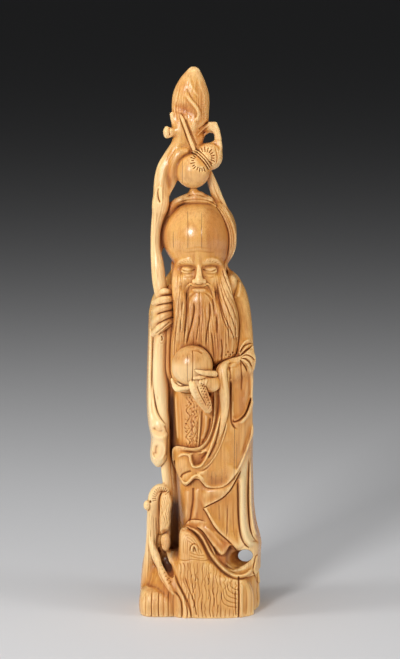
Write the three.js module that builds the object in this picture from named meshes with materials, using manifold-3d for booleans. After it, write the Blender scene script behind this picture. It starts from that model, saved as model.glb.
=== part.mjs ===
// Standing figure of the old god of long life, carved from one piece of ivory:
// a tall domed head under a hood, a long beard, a peach in the left hand, a
// gnarled staff in the right hand with a double gourd and a folded leaf bud at
// its head, a crane at the foot of the staff, and a tree-stump base.
// Millimetres, +Z up, the front of the figure looks along -Y, origin at the
// middle of the underside.
import * as THREE from "three";
import { mergeVertices } from "three/addons/utils/BufferGeometryUtils.js";
import Module from "manifold-3d";

const wasm = await Module();
wasm.setup();

// ---- driving dimensions ----------------------------------------------------
const HEIGHT = 327; // overall height, mm
const SHEET = 0.6; // one square of the front drawing, mm
const EYE_DIST = 1500; // the drawing is a view from this far, mm
const EYE_RISE = THREE.MathUtils.degToRad(9); // seen from slightly above
const EYE_AIM = 165; // height the view is aimed at, mm
const MID_U = 200, MID_V = 338.2; // square of the drawing at that aim point
const BASE_HALF_X = 37.4, BASE_FRONT = -33, BASE_BACK = 31.4; // base, mm
const STAFF_R = 4.2; // usual radius of the staff, mm
const DOME = { u: 197.5, v: 236.5, y: -3, rx: 20.6, ry: 20.6, rz: 20.8 }; // bald dome of the head
const GOURD_R = 10.3, GOURD_TOP_R = 8.5; // the two bulbs, mm
const PEACH_R = 12.2; // the peach in the hand, mm
const RIM_R = 1.3; // rolled edges of the cloth, mm
const CAVE = { u: 245.5, v: 555.5, r: 4.3 }; // pierced hole by the hem, mm

// ---- the front drawing -> space --------------------------------------------
const EYE = new THREE.Vector3(0, -EYE_DIST * Math.cos(EYE_RISE), EYE_AIM + EYE_DIST * Math.sin(EYE_RISE));
// The point at depth y that the square (u, v) of the front drawing shows.
function at(u, v, y) {
  const a = (u - MID_U) * SHEET / EYE_DIST, b = (MID_V - v) * SHEET / EYE_DIST;
  const dy = Math.cos(EYE_RISE) + b * Math.sin(EYE_RISE), dz = -Math.sin(EYE_RISE) + b * Math.cos(EYE_RISE);
  const t = (y - EYE.y) / dy;
  return new THREE.Vector3(a * t, y, EYE.z + dz * t);
}

// ---- helpers ---------------------------------------------------------------
const lerp = THREE.MathUtils.lerp, clamp = THREE.MathUtils.clamp;
const bump = (x, c, w) => Math.exp(-(((x - c) / w) ** 2));

// A closed three.js geometry as a solid, turned face-out if it needs it.
function solid(geometry) {
  const g = geometry.clone();
  for (const name of ["normal", "uv", "color"]) if (g.getAttribute(name)) g.deleteAttribute(name);
  const m = mergeVertices(g, 1e-3);
  const p = m.attributes.position.array;
  let raw = Array.from(m.index.array), tri = [];
  for (let i = 0; i < raw.length; i += 3)
    if (raw[i] !== raw[i + 1] && raw[i + 1] !== raw[i + 2] && raw[i] !== raw[i + 2]) tri.push(raw[i], raw[i + 1], raw[i + 2]);
  let volume = 0;
  const v = (i) => new THREE.Vector3(p[3 * i], p[3 * i + 1], p[3 * i + 2]);
  for (let i = 0; i < tri.length; i += 3) volume += v(tri[i]).dot(v(tri[i + 1]).cross(v(tri[i + 2])));
  if (volume < 0) for (let i = 0; i < tri.length; i += 3) [tri[i + 1], tri[i + 2]] = [tri[i + 2], tri[i + 1]];
  return new wasm.Manifold(new wasm.Mesh({ numProp: 3, vertProperties: p, triVerts: new Uint32Array(tri) }));
}

// Moves every vertex of a geometry by a function of its place.
function shape(geometry, move) {
  const a = geometry.attributes.position, p = new THREE.Vector3();
  for (let i = 0; i < a.count; i++) {
    p.fromBufferAttribute(a, i);
    move(p, i);
    a.setXYZ(i, p.x, p.y, p.z);
  }
  return geometry;
}

// A smooth table: rows of numbers, the first of them the key.
function table(rows) {
  return (key) => {
    let i = 0;
    while (i < rows.length - 2 && key > rows[i + 1][0]) i++;
    const a = rows[i], b = rows[i + 1], z = rows[Math.max(i - 1, 0)], c = rows[Math.min(i + 2, rows.length - 1)];
    const t = clamp((key - a[0]) / (b[0] - a[0]), 0, 1), h = b[0] - a[0];
    return a.map((p, k) => {
      const m0 = ((b[k] - z[k]) / (b[0] - z[0] || 1)) * h, m1 = ((c[k] - p) / (c[0] - a[0] || 1)) * h;
      return (2 * t ** 3 - 3 * t ** 2 + 1) * p + (t ** 3 - 2 * t ** 2 + t) * m0 + (3 * t ** 2 - 2 * t ** 3) * b[k] + (t ** 3 - t ** 2) * m1;
    });
  };
}

// A tall body turned as a lathe form, then drawn out to the section that
// section(z) gives: [z, left, right, front, back, squareness]; relief(angle, z)
// is added outwards. The angle is 0 at the right side and 270 degrees in front.
function column(z0, z1, around, rows, section, relief = () => 0) {
  const profile = [new THREE.Vector2(0, 0)];
  for (let i = 0; i <= rows; i++) profile.push(new THREE.Vector2(1, i / rows));
  profile.push(new THREE.Vector2(0, 1));
  return shape(new THREE.LatheGeometry(profile, around), (p) => {
    const r = Math.hypot(p.x, p.z), angle = Math.atan2(p.z, p.x), z = lerp(z0, z1, p.y);
    const [, left, right, front, back, n] = section(z);
    const cx = (left + right) / 2, cy = (front + back) / 2, a = (right - left) / 2, b = (back - front) / 2;
    const c = Math.cos(angle), s = Math.sin(angle);
    const k = (Math.abs(c / a) ** n + Math.abs(s / b) ** n) ** (-1 / n);
    const out = r > 0.01 ? k + relief(angle, z) : 0;
    p.set(cx + out * c, cy + out * s, z);
  });
}

// A round limb along a curve through points [u, v, y, radius]: a capped
// cylinder bent to the curve. flat squeezes it in depth.
function limb(stations, { sides = 6, steps = 0, flat = 1, space = false } = {}) {
  const pts = stations.map(([u, v, y]) => (space ? new THREE.Vector3(u, v, y) : at(u, v, y)));
  const curve = new THREE.CatmullRomCurve3(pts, false, "centripetal");
  const radius = stations.map((s) => s[3]);
  const n = steps || Math.max(3, Math.round((stations.length - 1) * 1.6));
  const ahead = new THREE.Vector3(), across = new THREE.Vector3(), up = new THREE.Vector3();
  return shape(new THREE.CylinderGeometry(1, 1, 1, sides, n), (p) => {
    const t = clamp(p.y + 0.5, 0, 1), s = t * (radius.length - 1), i = Math.min(Math.floor(s), radius.length - 2);
    const e = s - i, w = e * e * (3 - 2 * e), r = lerp(radius[i], radius[i + 1], w);
    curve.getTangent(t, ahead);
    across.set(0, 1, 0).cross(ahead);
    if (across.length() < 0.05) across.set(1, 0, 0);
    across.normalize();
    up.crossVectors(ahead, across).normalize();
    const x = p.x * r, z = p.z * r;
    p.copy(curve.getPoint(t)).addScaledVector(across, x).addScaledVector(up, z * flat);
  });
}

// An egg: a sphere with its own half sizes, placed, tilted about Y by turn.
function egg(centre, rx, ry, rz, { turn = 0, nod = 0, across = 8, down = 5, relief = null } = {}) {
  const g = new THREE.SphereGeometry(1, across, down);
  g.rotateX(Math.PI / 2);
  if (relief) shape(g, (p) => p.multiplyScalar(1 + relief(p)));
  g.scale(rx, ry, rz);
  g.rotateX(nod);
  g.rotateY(turn);
  return g.translate(centre.x, centre.y, centre.z);
}

// ---- robe and base ---------------------------------------------------------
// Rows of the robe: height, left, right, front, back, squareness, all mm.
const robeAt = table([
  [26, -15, 36, -26, 27, 2.5],
  [42, -13.5, 36, -26, 26.5, 2.5],
  [58, -13, 33.5, -25, 26, 2.4],
  [90, -13.4, 31.8, -24.5, 25.5, 2.4],
  [120, -15, 32, -24.5, 25, 2.4],
  [150, -17.2, 32, -24, 24.5, 2.4],
  [172, -17.6, 31, -22, 24, 2.3],
  [188, -17, 28.5, -18.5, 22.5, 2.3],
  [199, -14.5, 24.5, -13, 20, 2.2],
  [207, -10, 18, -7, 16, 2.1],
  [212, -5, 11, -2, 11, 2],
]);
const folds = (angle, z) => {
  const low = clamp((110 - z) / 50, 0, 1), back = clamp(Math.sin(angle), 0, 1);
  return (
    0.9 * low * Math.sin(9 * angle + z * 0.02) +
    0.8 * clamp((190 - z) / 60, 0, 1) * back * Math.sin(7 * angle + 0.9) +
    2.1 * clamp((120 - z) / 40, 0, 1) * (bump(angle, -0.35, 0.1) + bump(angle, -0.05, 0.1) + bump(angle, 0.25, 0.12) - bump(angle, -0.52, 0.08) * 0.7)
  );
};
const baseAt = table([
  [0, -36.4, 36, -31.6, 30, 2.3],
  [4, -BASE_HALF_X, 36.8, BASE_FRONT, BASE_BACK, 2.3],
  [12, -36.6, 36.6, -32.8, 31, 2.3],
  [20, -34.6, 36, -31, 30, 2.3],
  [29, -33, 35.4, -28.5, 28.5, 2.3],
  [38, -31, 33, -23, 26, 2.2],
]);
const bark = (angle, z) =>
  (0.7 * Math.sin(17 * angle + 0.12 * z) + 0.5 * Math.sin(29 * angle - 0.2 * z)) * clamp(z / 6, 0, 1) -
  3.4 * bump(angle, -0.98, 0.07) * clamp(z / 3, 0, 1) - 2 * bump(angle, -2.05, 0.09) * clamp(z / 3, 0, 1);

const pieces = [];
const add = (...geometries) => pieces.push(...geometries);

add(column(26, 212, 28, 15, robeAt, folds));
// the uncut ivory behind the staff and the sleeve, seen down the deep gap in front
const backAt = table([[28, -27, 30, -6, 27.5, 2.3], [60, -24, 29, -5, 25.5, 2.2], [120, -23.5, 29, -4, 24.5, 2.2], [175, -21, 28, -4, 23, 2.1], [196, -15, 24, -2, 19, 2]]);
add(column(28, 196, 18, 6, backAt));
add(column(0, 38, 34, 4, baseAt, bark));
// the stump's rounded top in front, and the mounds under the crane
add(egg(at(192.5, 550, -18), 11, 13.5, 13.5, { turn: 0.2 }));
add(egg(at(158, 604, -13), 13.5, 16, 10.5, { across: 10 }));
add(egg(at(150, 580, 2), 6.6, 16, 17));

// hem rolled round the foot of the robe, and the hem of the over-robe
const rim = (stations, r = RIM_R, more = {}) => limb(stations.map(([u, v, y]) => [u, v, y, r]), { sides: 4, ...more });
add(rim([[180, 531, -23.5], [187, 528, -25], [197, 532, -26], [204, 542, -26.5], [210, 555, -27.5], [220, 567, -27.5], [231, 574, -27], [242, 576, -25], [251, 571, -21.5]], 1.9));
// The depth at which the square (u, v) meets the front of the robe, grown by lift.
function robeFront(u, v, lift) {
  let y = -25;
  for (let i = 0; i < 4; i++) {
    const p = at(u, v, y), [, left, right, front, back, n] = robeAt(p.z);
    const a = (right - left) / 2 + lift, b = (back - front) / 2 + lift;
    const x = Math.min(Math.abs(p.x - (left + right) / 2) / a, 0.97);
    y = (front + back) / 2 - b * (1 - x ** n) ** (1 / n);
  }
  return y;
}
const drape = (points, lift, r, more) => rim(points.map(([u, v]) => [u, v, robeFront(u, v, lift)]), r, more);
add(drape([[204, 508], [210, 519], [217, 530], [228, 541], [238, 550]], 0.8, 1.5));
add(drape([[248, 455], [241, 469], [231, 486], [222, 497], [211, 504], [204, 508]], 0.6, 1.5));
add(drape([[196, 526], [207, 538], [216, 550], [222, 555], [227, 551], [231, 545]], 0.2, 1.3));
// long folds down the right side, ending in a curled tip
add(limb([[242, 468, -17, 1.6], [242, 500, -18, 2.6], [242.5, 525, -18.5, 2.6], [247, 539, -18, 2.2], [255, 548, -15, 1.4]], { sides: 6 }));
add(limb([[251.5, 455, -8, 1.4], [251.5, 490, -9, 2.2], [253, 515, -9.5, 2.4], [256.5, 533, -9, 1.9], [260, 541, -8, 1.3]], { sides: 6 }));

// ---- arms and sleeves ------------------------------------------------------
// left arm, under its sleeve: shoulder, elbow, wrist
add(limb([[229, 281, 2, 8.4], [238, 300, -1, 8.6], [241, 325, -5, 8.2], [241, 350, -10, 8], [232, 367, -18, 6.6], [217, 377, -27, 5]], { sides: 6, steps: 7 }));
// the hanging sleeve: the robe's own form, a little larger, kept only inside the
// sleeve's outline on the front drawing
function overlay(outline, lift, z0, z1, reach) {
  const curve = new THREE.CatmullRomCurve3(outline.map(([u, v]) => new THREE.Vector3(u, v, 0)), true, "centripetal");
  const flat = new THREE.Shape();
  curve.getPoints(Math.round(outline.length * 1.4)).slice(0, -1).forEach((p, i) => (i ? flat.lineTo(p.x, p.y) : flat.moveTo(p.x, p.y)));
  const prism = shape(new THREE.ExtrudeGeometry(flat, { depth: 1, steps: 1, bevelEnabled: false }), (p) => {
    p.copy(at(p.x, p.y, lerp(-60, reach, p.z)));
  });
  const grown = (z) => robeAt(z).map((n, i) => (i === 1 || i === 3 ? n - lift : i === 2 || i === 4 ? n + lift : n));
  return solid(column(z0, z1, 26, 7, grown)).intersect(solid(prism));
}
const sleeve = overlay([[215, 371], [223, 361], [233, 357], [243, 354], [253, 364], [255, 385], [254.5, 405], [254, 425], [250, 442], [245, 456], [239, 470], [231, 481], [222, 487], [208, 488], [201, 482], [194, 480], [187, 486], [180, 480], [175, 468], [171.5, 456], [175, 446], [186, 447], [197, 447], [206, 440], [212, 427], [214, 410]], 4.2, 68, 156, 2);
add(drape([[215, 392], [215, 410], [212, 427], [206, 440], [197, 447.5], [186, 447], [174.5, 447]], 4.6, 1.6));
add(drape([[227, 372], [229.5, 390], [227, 412], [223, 431], [218, 447], [210, 460], [200, 469], [191, 466]], 4.6, 1.6));
add(drape([[230, 378], [230.5, 400], [232, 420], [237, 424], [245, 415], [250, 400]], 4, 2, { sides: 6 }));
for (const [i, r] of [1.6, 1.8, 1.6].entries())
  add(rim([[239, 347 + 7 * i, -19 - i], [246, 344 + 8 * i, -16.5 - i], [252.5, 351 + 9 * i, -11]], r, { steps: 3 }));

// right sleeve behind the staff, in two hanging lobes
add(limb([[166, 300, 2, 4.4], [158, 320, 1, 5.6], [157, 350, -1, 6.2], [156.5, 385, -3, 6.6], [158, 412, -6, 6.6], [160.5, 432, -8, 5.6]], { sides: 7, steps: 8, flat: 1.35 }));
add(limb([[161, 430, -9, 4.8], [161, 446, -10, 5.6], [159, 456, -10, 4.6], [157, 462, -10, 2.2]], { sides: 8, flat: 1.2 }));
add(limb([[176, 290, 4, 6], [170, 303, 3, 6.4], [165, 325, 2, 6]], { sides: 8 }));
add(rim([[152.5, 384, -8], [154, 402, -11], [158, 417, -14.5], [166, 424, -17], [170.5, 437, -15]], 1.6));

// ---- staff -----------------------------------------------------------------
add(limb([
  [184, 132, -4, 5.4], [179, 145, -4, 5.6], [171, 155, -4, 4.6], [165, 165, -4, 4.4], [162, 176, -4.5, 4.5], [161, 190, -5, 4.6], [160.5, 202, -6, 4.7],
  [158, 216, -6.5, 3.8], [155.7, 232, -7, 2.9], [155.5, 246, -8, 2.8], [157.5, 262, -9, 3.7], [159, 278, -10.5, 4.1], [162, 298, -12, 4.2],
  [162.5, 320, -13, STAFF_R], [161.5, 345, -13, 4.6], [160.5, 370, -13, 4.5], [161.5, 390, -13, 4.4], [163, 408, -13, 3.6],
  [165, 425, -12.5, 3], [165.5, 450, -12, 3], [166.5, 475, -11.5, 3], [168, 500, -11, 3], [168, 530, -10, 3.2], [168, 560, -8, 5],
], { sides: 6, steps: 20 }));
add(egg(at(161.5, 339, -16), 2.4, 2.6, 3.8));
add(egg(at(159.5, 194, -8.2), 2.4, 2.6, 4.6));
// branch curling round the gourd
add(limb([[173, 184, -5, 2.2], [172, 170, -6.5, 2.4], [177, 157, -8, 2.8], [187, 151, -8, 2.4], [194, 148, -8, 2.2]], { sides: 6 }));
// prop from the gourd, behind the hood, to the shoulder
add(limb([[209, 172, 0, 2], [213, 184, 1, 3.2], [217, 195, 3, 3.8], [223, 207, 4.5, 3.4], [229, 217, 6, 2.8], [232, 226, 7, 2.2]], { sides: 6, steps: 7 }));
// stubs at the foot of the bud, and the cord to the gourd
add(limb([[184, 129, -5, 3.4], [175, 129.5, -7, 2.6], [168, 130.5, -8, 2.6], [165, 131.5, -8, 3.6]], { sides: 6 }));
add(limb([[180, 119, -3, 2.8], [174, 116.5, -4, 2.4], [170.5, 115.5, -4, 2]], { sides: 6 }));
add(limb([[183, 116, -9.5, 1], [188, 131, -10.5, 1.1], [194, 150, -12, 1.1]], { sides: 5 }));
// bud of folded leaf at the top
const budTop = at(193.7, 66.6, -1).z, budLow = at(190, 138, -3).z;
const budAt = table([
  [budLow, -9, 0.5, -7, 4, 2], [budLow + 6, -14, 3.6, -9, 6, 2], [budLow + 13, -16.6, 5.2, -10, 7.6, 2.1], [budLow + 21, -16.8, 5.5, -10, 8, 2.1],
  [budLow + 28, -16.3, 5, -8.6, 7, 2.1], [budLow + 34, -13.6, 3, -6.6, 5.2, 2], [budLow + 39.5, -9.6, 0.7, -4.2, 3.2, 2], [budTop, -5.4, -2.2, -1.8, 0.8, 2],
]);
add(column(budLow, budTop, 14, 8, budAt, (angle, z) => 0.9 * Math.sin(3 * angle + (z - budLow) * 0.13) + 0.3 * Math.sin(11 * angle)));

// ---- double gourd ----------------------------------------------------------
{
  const low = at(192.8, 171, -6), high = at(208.6, 156, -5);
  const axis = high.clone().sub(low), gap = axis.length();
  const outline = [];
  const n = 12;
  for (let i = 0; i <= n; i++) {
    const t = lerp(-GOURD_R, gap + GOURD_TOP_R, i / n);
    const a = Math.sqrt(Math.max(GOURD_R ** 2 - t ** 2, 0)), b = Math.sqrt(Math.max(GOURD_TOP_R ** 2 - (t - gap) ** 2, 0));
    outline.push(new THREE.Vector2(i === 0 || i === n ? 0 : Math.max(a, b), t));
  }
  const g = new THREE.LatheGeometry(outline, 12);
  g.applyQuaternion(new THREE.Quaternion().setFromUnitVectors(new THREE.Vector3(0, 1, 0), axis.normalize()));
  add(g.translate(low.x, low.y, low.z));
  add(limb([[216, 158, -4, 4], [219.5, 148, -4, 2.6], [219.3, 138, -4, 2.2], [216.5, 129, -3.5, 2.3], [212, 124, -3, 2.2], [207, 121, -2, 2.6]], { sides: 6 }));
}

// ---- head ------------------------------------------------------------------
add(egg(at(DOME.u, DOME.v, DOME.y), DOME.rx, DOME.ry, DOME.rz, { across: 14, down: 9 }));
add(egg(at(197.5, 274, -7), 14.6, 15, 19, { across: 12, down: 8 })); // face
add(egg(at(197.5, 281, -21.5), 2.9, 3.6, 4.6)); // nose
add(rim([[181.5, 267, -18.5], [189.5, 263, -21], [195.5, 268, -21.5]], 1.3, { sides: 6 })); // brows
add(rim([[199.5, 268, -21.5], [205.5, 263, -21], [213.5, 267, -18.5]], 1.3, { sides: 6 }));
add(egg(at(186.5, 284, -17), 5, 4, 4.4), egg(at(208.5, 284, -17), 5, 4, 4.4)); // cheeks
for (const u of [173.5, 221.5]) add(egg(at(u, 270, -4), 2.4, 3.4, 6.6)); // ears
// hood: a shell behind the dome with a rolled front edge and a small peak
add(egg(at(200, 234, 3.6), 21.2, 19.4, 22.6, { across: 14, down: 8 }));
add(limb([[169, 213, -5, 1.2], [175, 206, -9, 1.7], [184, 202.5, -12, 1.9], [198, 200.5, -13.5, 2], [211, 202, -12.5, 2], [221, 212, -10.5, 2], [229, 225, -8.5, 2], [233.5, 240, -6, 1.9], [232, 253, -5, 1.6], [227, 262, -5, 1.2]], { sides: 6, steps: 13 }));
add(limb([[194, 205, -4, 6], [194, 196, -5, 5], [193.5, 189, -6, 2.6]], { sides: 8 }));

// ---- beard -----------------------------------------------------------------
const beardRow = (v, ...rest) => [at(200, v, -26).z, ...rest];
const beardAt = table([
  beardRow(394, -14.5, 6, -25, -14, 2.4),
  beardRow(376, -17, 12, -26.5, -12, 2.4),
  beardRow(358, -18, 19.5, -27, -10, 2.4),
  beardRow(340, -17.8, 22, -27, -8, 2.4),
  beardRow(320, -16.6, 22.4, -26, -8, 2.4),
  beardRow(304, -15.8, 20, -24, -7, 2.3),
  beardRow(288, -14.8, 14.5, -19, -6, 2.2),
]);
add(column(at(200, 394, -26).z, at(200, 288, -26).z, 22, 6, beardAt, (angle, z) => 0.75 * Math.sin(15 * angle + 0.06 * z) * clamp(-Math.sin(angle), 0, 1)));
add(limb([[194, 291, -22, 1], [187, 296, -22.5, 1.8], [184, 315, -26, 1.8], [186, 342, -28, 1]], { sides: 5 })); // moustache
add(limb([[201, 291, -22, 1], [210, 296, -22.5, 1.8], [217, 315, -26, 1.8], [224, 345, -26, 1]], { sides: 5 }));

// ---- hands, peach and leaf ---------------------------------------------------
add(egg(at(192.3, 366, -30), PEACH_R, 9, 12.3, { across: 14, down: 9, relief: (p) => -0.06 * bump(p.x, 0, 0.16) * clamp(-p.y, 0, 1) * (p.z > -0.8 ? 1 : 0) }));
add(limb([[172.5, 378, -27, 1.4], [175, 389, -29, 2.4], [182, 390, -31, 2.8], [188, 388, -32, 2.4]], { sides: 5 })); // sepals under the peach
add(limb([[217, 382, -29, 4.8], [210, 382, -32, 5], [203, 380, -35, 4.2]], { sides: 8 })); // left hand
add(limb([[212, 373, -35, 2], [204, 373, -38.5, 1.8], [196.5, 370.5, -40, 1.1]], { sides: 5 })); // thumb
for (let i = 0; i < 3; i++) add(limb([[206, 378 + 3.2 * i, -36.5, 1.9], [199 - i, 379 + 3.4 * i, -38.5, 1.7], [193 + i, 379 + 3.6 * i, -38, 1.2]], { sides: 5, steps: 2 }));
add(limb([[193, 384, -36, 2.8], [198, 394, -35, 3.8], [203, 403, -32, 3.6], [206.5, 412, -29, 1.8]], { sides: 6 })); // leaf
add(egg(at(163.5, 311, -11), 6.6, 6.6, 11.5, { across: 10, down: 7, turn: -0.1 })); // right hand on the staff
for (let i = 0; i < 4; i++) add(limb([[155.5 - 0.4 * i, 301 + 8.6 * i, -12, 1.8], [159, 300 + 8.4 * i, -17.5, 2.4], [167, 299 + 7.8 * i, -18.5, 2.4], [173, 299.5 + 7 * i, -14.5, 1.8]], { sides: 5, steps: 5 }));

// ---- crane at the foot of the staff -----------------------------------------
add(limb([[152, 592, -7, 4], [151.5, 560, -9, 4.6], [153.5, 535, -11, 5.4], [156, 512, -12, 6], [159, 496, -12, 4.6]], { sides: 6, steps: 7 })); // body
add(limb([[165, 490, -14, 2.4], [165.5, 503, -16, 3.8], [165.5, 518, -16, 3.8], [163.5, 532, -15, 2.6]], { sides: 7 })); // wing
add(limb([[161, 489, -11.5, 3], [156, 490, -12, 2.8], [152, 497, -12, 2.6], [149.5, 503, -13, 2.6]], { sides: 6 })); // neck
add(egg(at(147.3, 505, -14), 2.8, 2.8, 3.4)); // head
add(egg(at(166.3, 540, -16), 3.8, 4.2, 6.2, { across: 9, down: 6, turn: -0.2 })); // raised foot on a knob of rock
add(limb([[152, 540, -14, 2.4], [156, 558, -17, 3.2], [161.5, 572, -21, 3.2], [168, 585, -25, 2.6], [171, 591, -26, 1.4]], { sides: 7 })); // tail

// ---- join ------------------------------------------------------------------
let figure = wasm.Manifold.union([sleeve, ...pieces.map(solid)]);
// the pierced hole by the hem, right through, and the hollow that leads to it
const hole = new THREE.CylinderGeometry(CAVE.r, CAVE.r, 90, 14);
const c0 = at(CAVE.u, CAVE.v, -10);
hole.translate(c0.x, 0, c0.z);
figure = figure.subtract(solid(hole));
figure = figure.subtract(solid(limb([[222, 560, -36, 3], [231, 561, -30, 4.6], [238, 559, -24, 5], [245, 556, -14, 4.4]], { sides: 7 })));
// flat underside
const below = new THREE.BoxGeometry(200, 200, 50);
below.translate(0, 0, -25);
figure = figure.subtract(solid(below));
figure = figure.simplify(0.76);
const parts = figure.decompose().sort((a, b) => b.volume() - a.volume());
if (parts.length > 1) console.log("loose bodies: " + parts.slice(1).map((p) => p.volume().toFixed(2)).join(" "));
figure = parts[0];

const mesh = figure.getMesh();
const geometry = new THREE.BufferGeometry();
const positions = new Float32Array(mesh.numVert * 3);
for (let i = 0; i < mesh.numVert; i++) for (let k = 0; k < 3; k++) positions[3 * i + k] = mesh.vertProperties[i * mesh.numProp + k];
geometry.setAttribute("position", new THREE.BufferAttribute(positions, 3));
geometry.setIndex(new THREE.BufferAttribute(mesh.triVerts, 1));
geometry.computeBoundingBox();
const box = geometry.boundingBox;
console.log("box", box.min.toArray().map((x) => x.toFixed(3)).join(" "), box.max.toArray().map((x) => x.toFixed(3)).join(" "), "triangles", mesh.triVerts.length / 3, "volume", figure.volume().toFixed(0), "height wanted", HEIGHT);
// the origin sits at the middle of the underside
geometry.translate(-(box.min.x + box.max.x) / 2, -(box.min.y + box.max.y) / 2, -box.min.z);

const ivory = new THREE.MeshStandardMaterial({ color: 0xd79a55, roughness: 0.36, metalness: 0 });
const carving = new THREE.Mesh(geometry, ivory);
carving.name = "shou_lao_figure";
const group = new THREE.Group();
group.add(carving);

export default group;
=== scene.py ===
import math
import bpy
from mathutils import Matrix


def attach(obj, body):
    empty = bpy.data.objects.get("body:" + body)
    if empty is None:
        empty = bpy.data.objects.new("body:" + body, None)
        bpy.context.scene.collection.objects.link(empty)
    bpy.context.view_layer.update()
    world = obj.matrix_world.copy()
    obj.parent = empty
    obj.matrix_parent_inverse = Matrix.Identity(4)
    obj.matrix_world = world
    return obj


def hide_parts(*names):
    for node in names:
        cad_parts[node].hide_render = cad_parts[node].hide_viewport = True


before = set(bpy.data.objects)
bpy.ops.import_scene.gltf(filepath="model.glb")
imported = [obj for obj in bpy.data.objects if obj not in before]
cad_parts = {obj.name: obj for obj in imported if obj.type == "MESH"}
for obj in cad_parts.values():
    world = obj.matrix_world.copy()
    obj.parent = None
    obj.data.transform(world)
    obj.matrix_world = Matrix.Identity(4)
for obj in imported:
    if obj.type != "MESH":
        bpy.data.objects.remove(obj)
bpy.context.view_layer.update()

# Looks of the carved ivory figure. The carving is one solid, so it is one mesh
# here too: a field of distances on a fine grid is built up from lofts, eggs and
# limbs, relief drawn on the front view is laid on it, and its zero surface is
# the mesh. Lengths are millimetres in the front drawing's frame until the end.
from concurrent.futures import ThreadPoolExecutor

import bpy
import numpy as np
from mathutils import Vector

STEP = 0.31  # grid step
SHIFT = (-0.105, 4.738, 0.0)  # from the drawing's frame to the row's frame
LO = (-43.0, -47.0, -2.0)
HI = (43.0, 37.0, 331.0)
FAR = 9.0
FACES = 192000  # triangles of the finished mesh

# ---- the front drawing -------------------------------------------------------
C9, S9 = math.cos(math.radians(9)), math.sin(math.radians(9))
EYE = (0.0, -1500 * C9, 165 + 1500 * S9)
MID_U, MID_V, SHEET = 200.0, 338.2, 0.6


def at(u, v, y):
    """The point at depth y that the square (u, v) of the front drawing shows."""
    a, b = (u - MID_U) * SHEET / 1500, (MID_V - v) * SHEET / 1500
    t = (y - EYE[1]) / (C9 + b * S9)
    return np.array([a * t, y, EYE[2] + (-S9 + b * C9) * t])


def drawn(x, y, z):
    """The square of the front drawing that shows a point."""
    ry, rz = y - EYE[1], z - EYE[2]
    t = ry * C9 - rz * S9
    return MID_U + 2500 * x / t, MID_V - 2500 * (ry * S9 + rz * C9) / t


def on_egg(centre, radii, u, v, lift=0.0):
    """Depth at which the ray of (u, v) meets the front of an egg grown by lift."""
    p0, p1 = at(u, v, -60.0), at(u, v, 60.0)
    r = np.array(radii) + lift
    a, d = (p0 - centre) / r, (p1 - p0) / r
    A, B, C = d @ d, a @ d, a @ a - 1
    disc = B * B - A * C
    t = (-B - math.sqrt(disc)) / A if disc > 0 else -B / A
    return float((p0 + (p1 - p0) * t)[1])


def smooth(x):
    x = np.clip(x, 0, 1)
    return x * x * (3 - 2 * x)


def curve(points, step, closed=False):
    """Points about step apart (in the first two columns) on a smooth curve."""
    p = np.asarray(points, float)
    if closed:
        e = np.vstack([p[-1], p, p[0], p[1]])
    else:
        e = np.vstack([2 * p[0] - p[1], p, 2 * p[-1] - p[-2]])
    out = []
    for i in range(len(e) - 3):
        a, b, c, d = e[i : i + 4]
        n = max(1, int(math.ceil(math.hypot(*(c - b)[:2]) / step)))
        t = (np.arange(n) / n)[:, None]
        out.append(0.5 * (2 * b + (c - a) * t + (2 * a - 5 * b + 4 * c - d) * t**2 + (3 * b - a - 3 * c + d) * t**3))
    if not closed:
        out.append(p[-1:])
    return np.vstack(out)


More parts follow.
